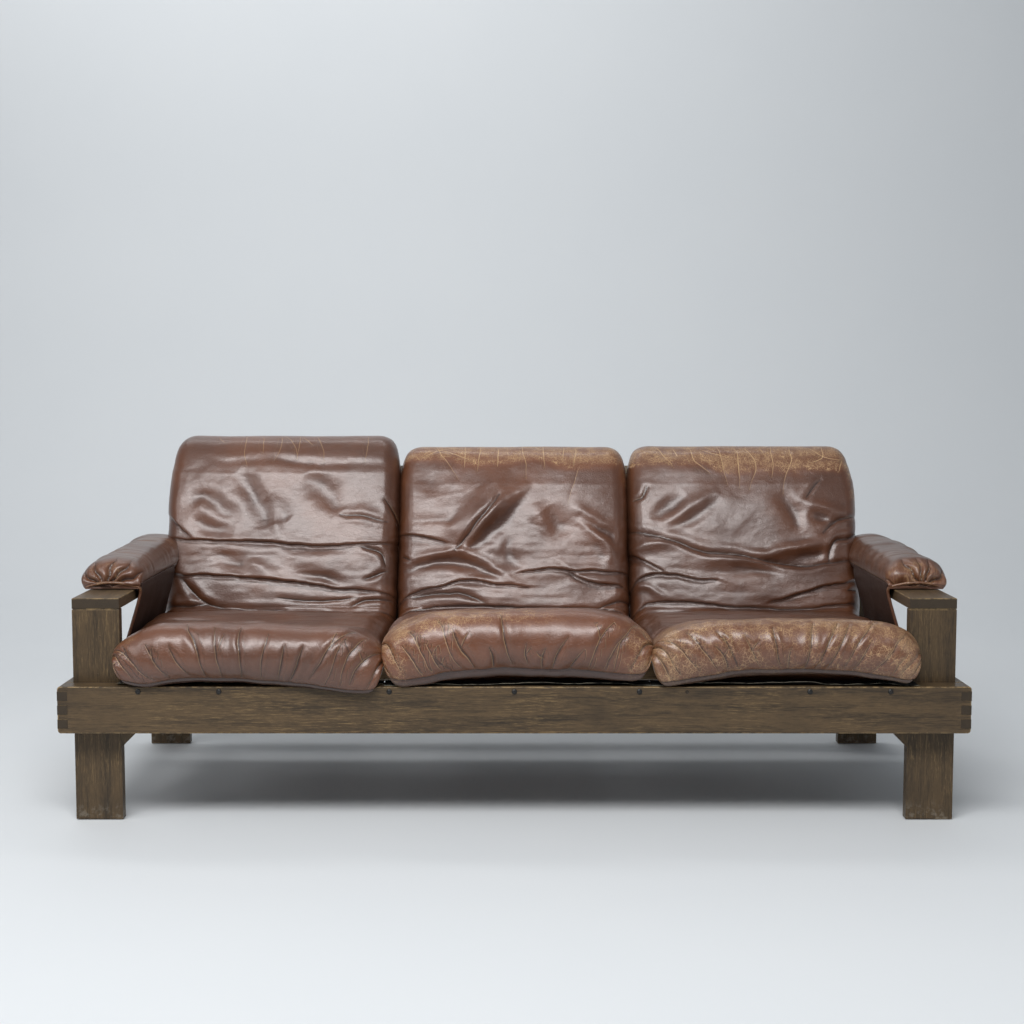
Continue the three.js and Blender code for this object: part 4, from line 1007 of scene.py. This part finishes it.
# Around the pad, (from the sofa's middle, height): outer foot, over the top, inner foot, underside.
PAD_SECTION = [
    (0.950, 0.4885), (0.971, 0.4935), (0.9785, 0.508), (0.976, 0.533), (0.959, 0.560), (0.930, 0.5745),
    (0.896, 0.5755), (0.864, 0.568), (0.846, 0.549), (0.8395, 0.523), (0.8425, 0.501), (0.851, 0.4895),
    (0.875, 0.4882), (0.912, 0.4882), (0.950, 0.4885)]
PAD_MIDDLE, PAD_FOOT = 0.9055, 0.4885
PAD_FRONT, PAD_REAR, PAD_NOSE, PAD_TAIL = 0.188, 0.762, 0.058, 0.11
NOSE_POWER = 2.5  # how squarely the nose rounds off
PLEATS = 5.3  # the rate at which pleats follow each other round the nose
FLAP_DROP = [(0.8415, 0.5010), (0.8432, 0.4800), (0.8492, 0.4560), (0.8662, 0.4000), (0.8762, 0.3675),
             (0.8920, 0.3120)]
FLAP_FRONT, FLAP_REAR = 0.197, 0.548


def pad_body(seed):
    """An arm pad's rows of points about the sofa's right arm, and how far each row is opened out."""
    section = even_path(smooth_path(PAD_SECTION, 600), 151)[:-1]
    length = PAD_REAR - PAD_FRONT
    nose = PAD_NOSE * (1 - (1 - np.linspace(0, 1, 34) ** NOSE_POWER) ** (1 / NOSE_POWER))
    body = np.linspace(PAD_NOSE, length - PAD_TAIL, 120)[1:-1]
    tail = length - PAD_TAIL * (1 - np.sin(np.linspace(0, np.pi / 2, 26)))
    run = np.concatenate([nose, body, tail])[:, None]
    opened = (1 - (1 - np.clip(run / PAD_NOSE, 0, 1)) ** NOSE_POWER) ** (1 / NOSE_POWER)
    shut = np.sqrt(1 - np.clip(1 - (length - run) / PAD_TAIL, 0, 1) ** 2)
    across, up = section[:, 0], section[:, 1]
    arch = PAD_FOOT + 0.0135 * np.clip(1 - ((across - PAD_MIDDLE) / 0.067) ** 2, 0, 1)
    hem_up = np.where(up > PAD_FOOT + MM, arch, up)
    hem_across = PAD_MIDDLE + (across - PAD_MIDDLE) * np.where(across > PAD_MIDDLE, 0.80, 0.96)
    x = hem_across + (across - hem_across) * opened
    z = hem_up + (up - hem_up) * opened
    settle = 0.76 + 0.13 * ease(run, 0.03, 0.42) + 0.012 * np.sin(run * 21 + seed)
    z = PAD_FOOT + (z - PAD_FOOT) * settle * shut
    x = PAD_MIDDLE + (x - PAD_MIDDLE) * (0.72 + 0.28 * shut)
    return section, run, x, z, opened, shut


def build_arm_pad(side, sign, seed):
    section, run, x, z, opened, shut = pad_body(seed)
    around = np.linalg.norm(np.diff(np.vstack([section, section[:1]]), axis=0), axis=1)
    arc = np.concatenate([[0], np.cumsum(around)[:-1]])
    depth = PAD_FRONT + run + 0 * x

    # Pleats fan out over the nose from the middle of the hem.
    angle = np.arctan2(z - 0.493, x - (PAD_MIDDLE + 0.012))
    spread = np.hypot(z - 0.493, x - (PAD_MIDDLE + 0.012))
    phase = PLEATS * (angle + 0.12 * np.sin(3 * angle + seed) + 0.05 * np.sin(180 * spread)) + 0.5
    pleat = np.abs(np.sin(phase))
    gathered = (1 - opened) ** 0.55 * ease(z, 0.492, 0.500)
    gathered = gathered + 0.55 * np.exp(-np.clip(run - 0.012, 0, 1) / 0.016) * ease(z, 0.50, 0.52)
    depth = depth + (0.55 - pleat**0.6) * 0.0120 * gathered
    z = z + (pleat**0.6 - 0.5) * 0.0035 * gathered
    turns = phase / np.pi
    pleat_line = (turns - np.round(turns)) * np.pi / PLEATS * spread * 1000 / np.clip(gathered, 0.08, 1)

    # Soft crosswise ripples, with a few sharper creases over the top.
    arc_mm, run_mm = arc[None, :] * 1000 + 0 * x, run * 1000 + 0 * x
    on_dome = ease(section[:, 1], 0.50, 0.54)[None, :]
    ripple = lattice(arc_mm, run_mm, 90, 17, seed) * 1.3 + lattice(arc_mm, run_mm, 60, 45, seed + 1) * 2.4
    creases = LineStore(x.shape)
    rng = np.random.default_rng(seed)
    height = ripple * on_dome
    at = 62.0
    while at < 470:
        start = rng.uniform(30, 120)
        stop = start + rng.uniform(40, 110)
        path = smooth_path([(start, at), ((start + stop) / 2, at + rng.uniform(-5, 5)),
                            (stop, at + rng.uniform(-9, 9))], 10)
        rise, line = fold_height(
            "crease", rng.uniform(0.8, 2.0), rng.uniform(3.0, 5.5), path, arc_mm, run_mm)
        height += rise
        creases.add(line)
        at += rng.uniform(14, 34)
    creases.channels[2] = np.where(gathered > 0.1, np.clip(pleat_line, -FAR, FAR), creases.channels[2])
    stitched = arc[np.argmin(np.hypot(section[:, 0] - 0.8415, section[:, 1] - 0.505))] * 1000
    seam = np.clip(stitched - arc_mm, -FAR, FAR)
    height -= np.exp(-((seam / 2.2) ** 2)) * ease(run, 0.03, 0.06)

    points = np.stack([x, FACE_Y + depth, z], axis=-1)
    turned = np.concatenate([points[:, -1:], points, points[:, :1]], axis=1)
    normal = sheet_normals(turned)[:, 1:-1]
    outward = np.sign((normal[:, :, 2] * on_dome).sum())
    points = points + outward * normal * (height * MM)[:, :, None] * shut[:, :, None]
    points[:, :, 2] = np.maximum(points[:, :, 2], BOARD_TOP + 0.8 * MM)
    points[:, :, 0] *= sign
    rows, columns = x.shape
    index = np.arange(rows * columns).reshape(rows, columns)
    index = np.concatenate([index, index[:, :1]], axis=1)
    faces = quads_of(index)
    for k in range(columns):
        faces.append((rows * columns, index[0, k + 1], index[0, k]))
        faces.append((rows * columns + 1, index[-1, k], index[-1, k + 1]))
    points = np.vstack([points.reshape(-1, 3), points[0].mean(axis=0), points[-1].mean(axis=0)])
    rubbed = 0.24 if sign < 0 else 0.46
    gathered = np.clip(gathered, 0, 1)
    wear = 0.14 + rubbed * gathered + 0.12 * lattice(arc_mm, run_mm, 60, 60, seed + 5)
    # Painted shade in the pleats' valleys and on the nose's end cap.
    hollow = np.clip((0.4 - pleat) * 2.2, 0, 1) * gathered
    uv = np.stack([arc_mm, run_mm], axis=-1).reshape(-1, 2) * MM
    marks = leather_marks(
        len(points), wear=np.append(wear, [0.5, 0.2]), hollow=np.append(hollow, [0.5, 0]), seam=seam,
        creases=creases.columns())
    return make_piece(f"arm_pad_{side}_leather", points, faces,
                      uv=np.vstack([uv, [(0, 0), (0, 0)]]), attributes=marks)


def thick_sheet(grid_points, thick):
    """Points and faces of a thin closed shell about a grid of points."""
    half = sheet_normals(grid_points) * thick / 2
    points = np.vstack([(grid_points + half).reshape(-1, 3), (grid_points - half).reshape(-1, 3)])
    rows, columns = grid_points.shape[:2]
    size = rows * columns
    index = np.arange(size).reshape(rows, columns)
    faces = quads_of(index)
    faces += [[corner + size for corner in face[::-1]] for face in faces]
    loop = [*index[0], *index[1:, -1], *index[-1, -2::-1], *index[-2:0:-1, 0]]
    faces += [(b, a, a + size, b + size) for a, b in zip(loop, loop[1:] + loop[:1])]
    return points, faces


def build_arm_flap(side, sign, seed):
    drop = smooth_path(FLAP_DROP, 46)
    depth = np.linspace(FLAP_FRONT, FLAP_REAR, 80)[None, :]
    fall = np.linspace(0, 1, len(drop))[:, None]
    wave = lattice(fall * 190, depth * 1000, 90, 60, seed) * 3.0 * MM * ease(fall, 0.08, 0.6)
    x = drop[:, :1] + wave
    y = depth + 0.030 * fall * (depth - FLAP_FRONT) / (FLAP_REAR - FLAP_FRONT)
    grid_points = np.stack([sign * x, FACE_Y + y, drop[:, 1:] + 0 * wave], axis=-1)
    points, faces = thick_sheet(grid_points, 2.4 * MM)
    flat = np.stack([depth + 0 * x, fall * 0.195 + 0 * x], axis=-1).reshape(-1, 2)
    return make_piece(f"arm_flap_{side}_leather", points, faces, uv=np.vstack([flat, flat]),
                      attributes=leather_marks(len(points), wear=np.full(len(points), 0.10)))


def build_arm_hem(side, sign):
    """The rolled hem: over the board's end at the pad's nose, then down the flap's front edge."""
    arch = [(x, PAD_FRONT - 0.0035 + 0.006 * abs(x - PAD_MIDDLE) / 0.065,
             PAD_FOOT + 0.0150 - 0.0125 * ((x - PAD_MIDDLE) / 0.065) ** 2)
            for x in np.linspace(0.962, 0.844, 12)]
    edge = [(x - 0.0005, FLAP_FRONT - 0.001, z) for x, z in smooth_path(FLAP_DROP[1:], 9)]
    path = smooth_path([(sign * x, FACE_Y + y, z) for x, y, z in arch + edge], 130)
    sides, length = 10, 0.33
    points, faces = tube(path, 3.5 * MM, sides)
    run = np.linspace(0, length, len(path))
    uv = [(k * 2 * MM, at) for at in run for k in range(sides)] + [(0, 0), (0, length)]
    wear = np.append(np.repeat(0.30 + 0.45 * (run < 0.14), sides), [0.5, 0.3])
    return make_piece(f"arm_hem_{side}", points, faces, uv=uv,
                      attributes=leather_marks(len(points), wear=wear))


class SOFA_OT_arms(bpy.types.Operator):
    """Make the two arm pads with their hems and hanging flaps"""

    bl_idname = "sofa.arms"
    bl_label = "Arm pads and flaps"

    def execute(self, context):
        hide = leather_finish("arm_leather", (0.92, 1.00, 1.10), gloss=0.46, crackle=0.7)
        # The flaps get a near-black copy of the leather as painted shade, since they hang in shade under the
        # pads.
        dark = leather_finish("flap_leather_shaded", (0.24, 0.25, 0.26), gloss=0.58, crackle=0.4, coat=0.1)
        for side, sign, seed in (("left", -1, 5), ("right", 1, 8)):
            pad = dress(build_arm_pad(side, sign, seed), hide)
            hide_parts(f"arm_pad_{side}")
            hem = dress(build_arm_hem(side, sign), hide)
            flap = dress(build_arm_flap(side, sign, seed), dark)
            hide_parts(f"arm_flap_{side}")
        return {"FINISHED"}


# --- Linings below the rolls, and small hardware ----------------------------------------------


LINING_HALF = 0.2868  # half the width of a lining


class SOFA_OT_linings(bpy.types.Operator):
    """Make the loose black linings that lie on the rail below the front rolls"""

    bl_idname = "sofa.linings"
    bl_label = "Roll linings"

    def execute(self, context):
        black = lining_finish()
        for side, reach, seed, wide in (
                ("left", 0.024, 4, 0.050), ("middle", 0.009, 2, 0.060), ("right", 0.009, 7, 0.060)):
            spec = CUSHIONS[side]
            x = np.linspace(-LINING_HALF, LINING_HALF, 180)[None, :]
            line = smooth_path([(0.0640, -0.0032), (0.0600, 0.0022), (0.0545, 0.0027), (0.046, 0.0016),
                                (0.030, 0.0016), (reach + 0.009, 0.0018), (reach, 0.0042)], 22)
            fall = np.linspace(0, 1, 22)[:, None]
            wave = lattice(x * 1000, 0 * x, 62, 10, seed) * 0.9
            wave = wave + lattice(x * 1000, 0 * x, 23, 10, seed + 1) * 0.3 - 1.4 * ease(np.abs(x), 0.20, 0.27)
            z = RAIL_TOP + line[:, 1:] + fall**5 * (0.0022 + 0.0040 * np.maximum(wave, -1.1))
            y = FACE_Y + line[:, :1] + fall**5 * 0.003 * np.roll(wave, 9, axis=1)
            xs = spec["centre"] + spec["roll_shift"] + x + 0 * z
            points, faces = thick_sheet(np.stack([xs, y + 0 * z, z], axis=-1), 0.8 * MM)
            flat = np.stack([x + 0 * z, fall * 0.060 + 0 * z], axis=-1).reshape(-1, 2)
            piece = make_piece(f"roll_lining_{side}", points, faces, uv=np.vstack([flat, flat]))
            dress(piece, black)
        return {"FINISHED"}


FACING = (math.radians(90), 0, 0)  # turns a primitive's axis to run from front to back
HOOK_Y = FACE_Y + 0.030


def clear_selection():
    if bpy.context.mode != "OBJECT":
        bpy.ops.object.mode_set(mode="OBJECT")
    bpy.ops.object.select_all(action="DESELECT")


def finish_added(name, material):
    """Names the primitive just shaped, moves its place into its mesh, and dresses it."""
    bpy.ops.object.mode_set(mode="OBJECT")
    bpy.ops.object.transform_apply(location=True, rotation=True, scale=True)
    bpy.ops.object.shade_smooth_by_angle(angle=math.radians(40))
    piece = bpy.context.object
    piece.name = name
    piece.data.name = name
    return dress(piece, material)


def add_cylinder(vertices, radius, depth, place):
    """Adds a cylinder that faces the front, and opens it in edit mode."""
    clear_selection()
    bpy.ops.mesh.primitive_cylinder_add(
        vertices=vertices, radius=radius, depth=depth, location=place, rotation=FACING)
    bpy.ops.object.mode_set(mode="EDIT")


class SOFA_OT_hardware(bpy.types.Operator):
    """Make the two lining hooks, the wooden plugs and the rim of the empty screw hole"""

    bl_idname = "sofa.hardware"
    bl_label = "Hooks, plugs and screw hole"

    def execute(self, context):
        steel = steel_finish("hook_steel")
        for name, x in (("lining_hook_left", -0.254), ("lining_hook_right", 0.790)):
            clear_selection()
            bpy.ops.mesh.primitive_torus_add(
                major_radius=0.0065, minor_radius=0.0013, major_segments=24, minor_segments=8,
                location=(x, HOOK_Y, RAIL_TOP + 0.0022), rotation=FACING)
            bpy.ops.object.mode_set(mode="EDIT")
            bpy.ops.mesh.select_all(action="SELECT")
            bpy.ops.mesh.bisect(plane_co=(x, HOOK_Y, RAIL_TOP + 0.0006), plane_no=(0, 0, 1),
                                clear_inner=True, use_fill=True)
            finish_added(name, steel)
        plug_wood = timber_finish("plug_wood", "Y", 3.0, 0.0)
        for name, x, z in (("post_plug_upper", -0.8985, 0.404), ("post_plug_lower", -0.9040, 0.320)):
            add_cylinder(20, 0.0021, 0.0012, (x, FACE_Y + 0.0502, z))
            bpy.ops.mesh.select_all(action="SELECT")
            bpy.ops.mesh.bevel(offset=0.0003, segments=2)
            finish_added(name, plug_wood)
        add_cylinder(24, 0.0040, 0.0016, (0.370, FACE_Y - 0.0002, 0.2920))
        bpy.ops.mesh.select_all(action="DESELECT")
        context.tool_settings.mesh_select_mode = (False, False, True)
        bpy.ops.object.mode_set(mode="OBJECT")
        for face in bpy.context.object.data.polygons:
            face.select = face.normal.z > 0.9
        bpy.ops.object.mode_set(mode="EDIT")
        bpy.ops.mesh.inset(thickness=0.0010, depth=-0.0007)
        # The hole's rim and floor are dark: painted shade in the recess.
        finish_added("screw_hole_rim", timber_finish("hole_wood_shaded", "Y", 0.35, 0.0))
        return {"FINISHED"}


# --- Timber, webbing and steel ---------------------------------------------------------------


class SOFA_OT_timber(bpy.types.Operator):
    """Finish the timber frame, the webbing and the screws"""

    bl_idname = "sofa.timber"
    bl_label = "Timber, webbing and screws"

    def execute(self, context):
        along_x = timber_finish("timber_long", "X")
        along_y = timber_finish("timber_deep", "Y")
        along_z = timber_finish("timber_upright", "Z", 0.85)
        plain_x = timber_finish("timber_hidden_long", "X", 1.6, 0.3)
        plain_z = timber_finish("timber_hidden_upright", "Z", 1.6, 0.3)
        finishes = {
            "front_rail": along_x, "rear_rail": along_x, "side_rail": along_y, "arm_board": along_y,
            "front_post": along_z, "rear_post": along_z, "front_gusset": along_z,
            "rear_gusset": along_z, "front_ledger": plain_x, "seat_cross_rail": plain_x,
            "back_rail": plain_x, "back_stile": plain_z,
            # The dividers' tops show in the gaps between the backs; their dark tone is painted shade.
            "back_divider": timber_finish("timber_divider_shaded", "Z", 0.35, 0.2),
            "seat_strap": webbing_finish(), "rail_screw": steel_finish("screw_steel"),
        }
        finishes["back_strap"] = finishes["seat_strap"]
        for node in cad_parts:
            kind = next((key for key in finishes if node.startswith(key)), None)
            if kind:
                materials = bpy.data.objects[node].data.materials
                materials.clear()
                materials.append(finishes[kind])
        return {"FINISHED"}


# --- Studio ----------------------------------------------------------------------------------


class SOFA_OT_stage(bpy.types.Operator):
    """Set the floor, the backdrop, the lights and the camera"""

    bl_idname = "sofa.stage"
    bl_label = "Studio"

    def execute(self, context):
        paper = Finish("backdrop")
        crumple = paper.noise(paper.where(), 2.2, 4.0, 0.55)
        tone = paper.blend(crumple, (0.70, 0.725, 0.745), (0.725, 0.745, 0.76))
        backdrop = paper.surface(
            Base_Color=tone, Roughness=0.75, Normal=paper.bump(crumple, 0.004, 0.25))
        profile = smooth_path(
            [(-7.0, -0.001), (0.7, -0.001), (1.8, 0.012), (2.8, 0.14), (3.6, 0.55), (4.1, 1.3), (4.35, 2.4),
             (4.4, 5.5)], 120)
        points = [(x, y, z) for y, z in profile for x in (-9.0, 9.0)]
        index = np.arange(len(points)).reshape(len(profile), 2)
        floor = make_piece("studio_floor", points, quads_of(index))
        floor.data.materials.append(backdrop)
        lights = [
            ("key", (-0.6, -2.9, 3.5), (0.0, 0.2, 0.5), (3.4, 1.3), 158.0),
            ("side_left", (-3.3, -1.6, 2.3), (-0.3, 0.2, 0.5), (1.4, 2.0), 26.0),
            ("side_right", (3.3, -2.0, 1.9), (0.3, 0.2, 0.5), (1.4, 2.0), 8.0),
            ("wall", (-1.2, 2.2, 4.7), (-0.7, 4.3, 1.5), (5.0, 1.0), 75.0),
        ]
        for name, place, aim, size, power in lights:
            data = bpy.data.lights.new(name, "AREA")
            data.shape = "RECTANGLE"
            data.size, data.size_y = size
            data.energy = power
            lamp = bpy.data.objects.new(name, data)
            lamp.location = place
            lamp.rotation_euler = (Vector(aim) - Vector(place)).to_track_quat("-Z", "Y").to_euler()
            context.scene.collection.objects.link(lamp)
        world = bpy.data.worlds.new("studio")
        context.scene.world = world
        world.use_nodes = True
        world.node_tree.nodes["Background"].inputs["Color"].default_value = (0.86, 0.93, 1.0, 1.0)
        world.node_tree.nodes["Background"].inputs["Strength"].default_value = 0.22
        context.scene.view_settings.view_transform = "Standard"
        data = bpy.data.cameras.new("camera")
        data.sensor_width = 36.0
        data.lens = 55.5
        camera = bpy.data.objects.new("camera", data)
        camera.location = (-0.005, FACE_Y - 3.336, 0.958)
        camera.rotation_euler = (math.radians(90 - 4.79), 0.0, 0.0)
        context.scene.collection.objects.link(camera)
        context.scene.camera = camera
        return {"FINISHED"}


# --- Panel and registration ------------------------------------------------------------------


class SOFA_PT_panel(bpy.types.Panel):
    """Lists the sofa's operators"""

    bl_label = "Worn leather sofa"
    bl_idname = "SOFA_PT_panel"
    bl_space_type = "VIEW_3D"
    bl_region_type = "UI"
    bl_category = "Sofa"

    def draw(self, context):
        for settings in (context.scene.sofa_leather, context.scene.sofa_timber):
            for name in settings.bl_rna.properties.keys():
                if name not in ("rna_type", "name"):
                    self.layout.prop(settings, name)
        for operator in OPERATORS:
            self.layout.operator(operator.bl_idname)


OPERATORS = (SOFA_OT_timber, SOFA_OT_cushions, SOFA_OT_arms, SOFA_OT_linings, SOFA_OT_hardware,
             SOFA_OT_stage)
CLASSES = (SofaLeather, SofaTimber, *OPERATORS, SOFA_PT_panel)


def register():
    for made in CLASSES:
        bpy.utils.register_class(made)
    bpy.types.Scene.sofa_leather = bpy.props.PointerProperty(type=SofaLeather)
    bpy.types.Scene.sofa_timber = bpy.props.PointerProperty(type=SofaTimber)


def unregister():
    del bpy.types.Scene.sofa_leather
    del bpy.types.Scene.sofa_timber
    for made in reversed(CLASSES):
        bpy.utils.unregister_class(made)


def main():
    register()
    for operator in OPERATORS:
        group, name = operator.bl_idname.split(".")
        getattr(getattr(bpy.ops, group), name)()


if __name__ == "__main__":
    main()
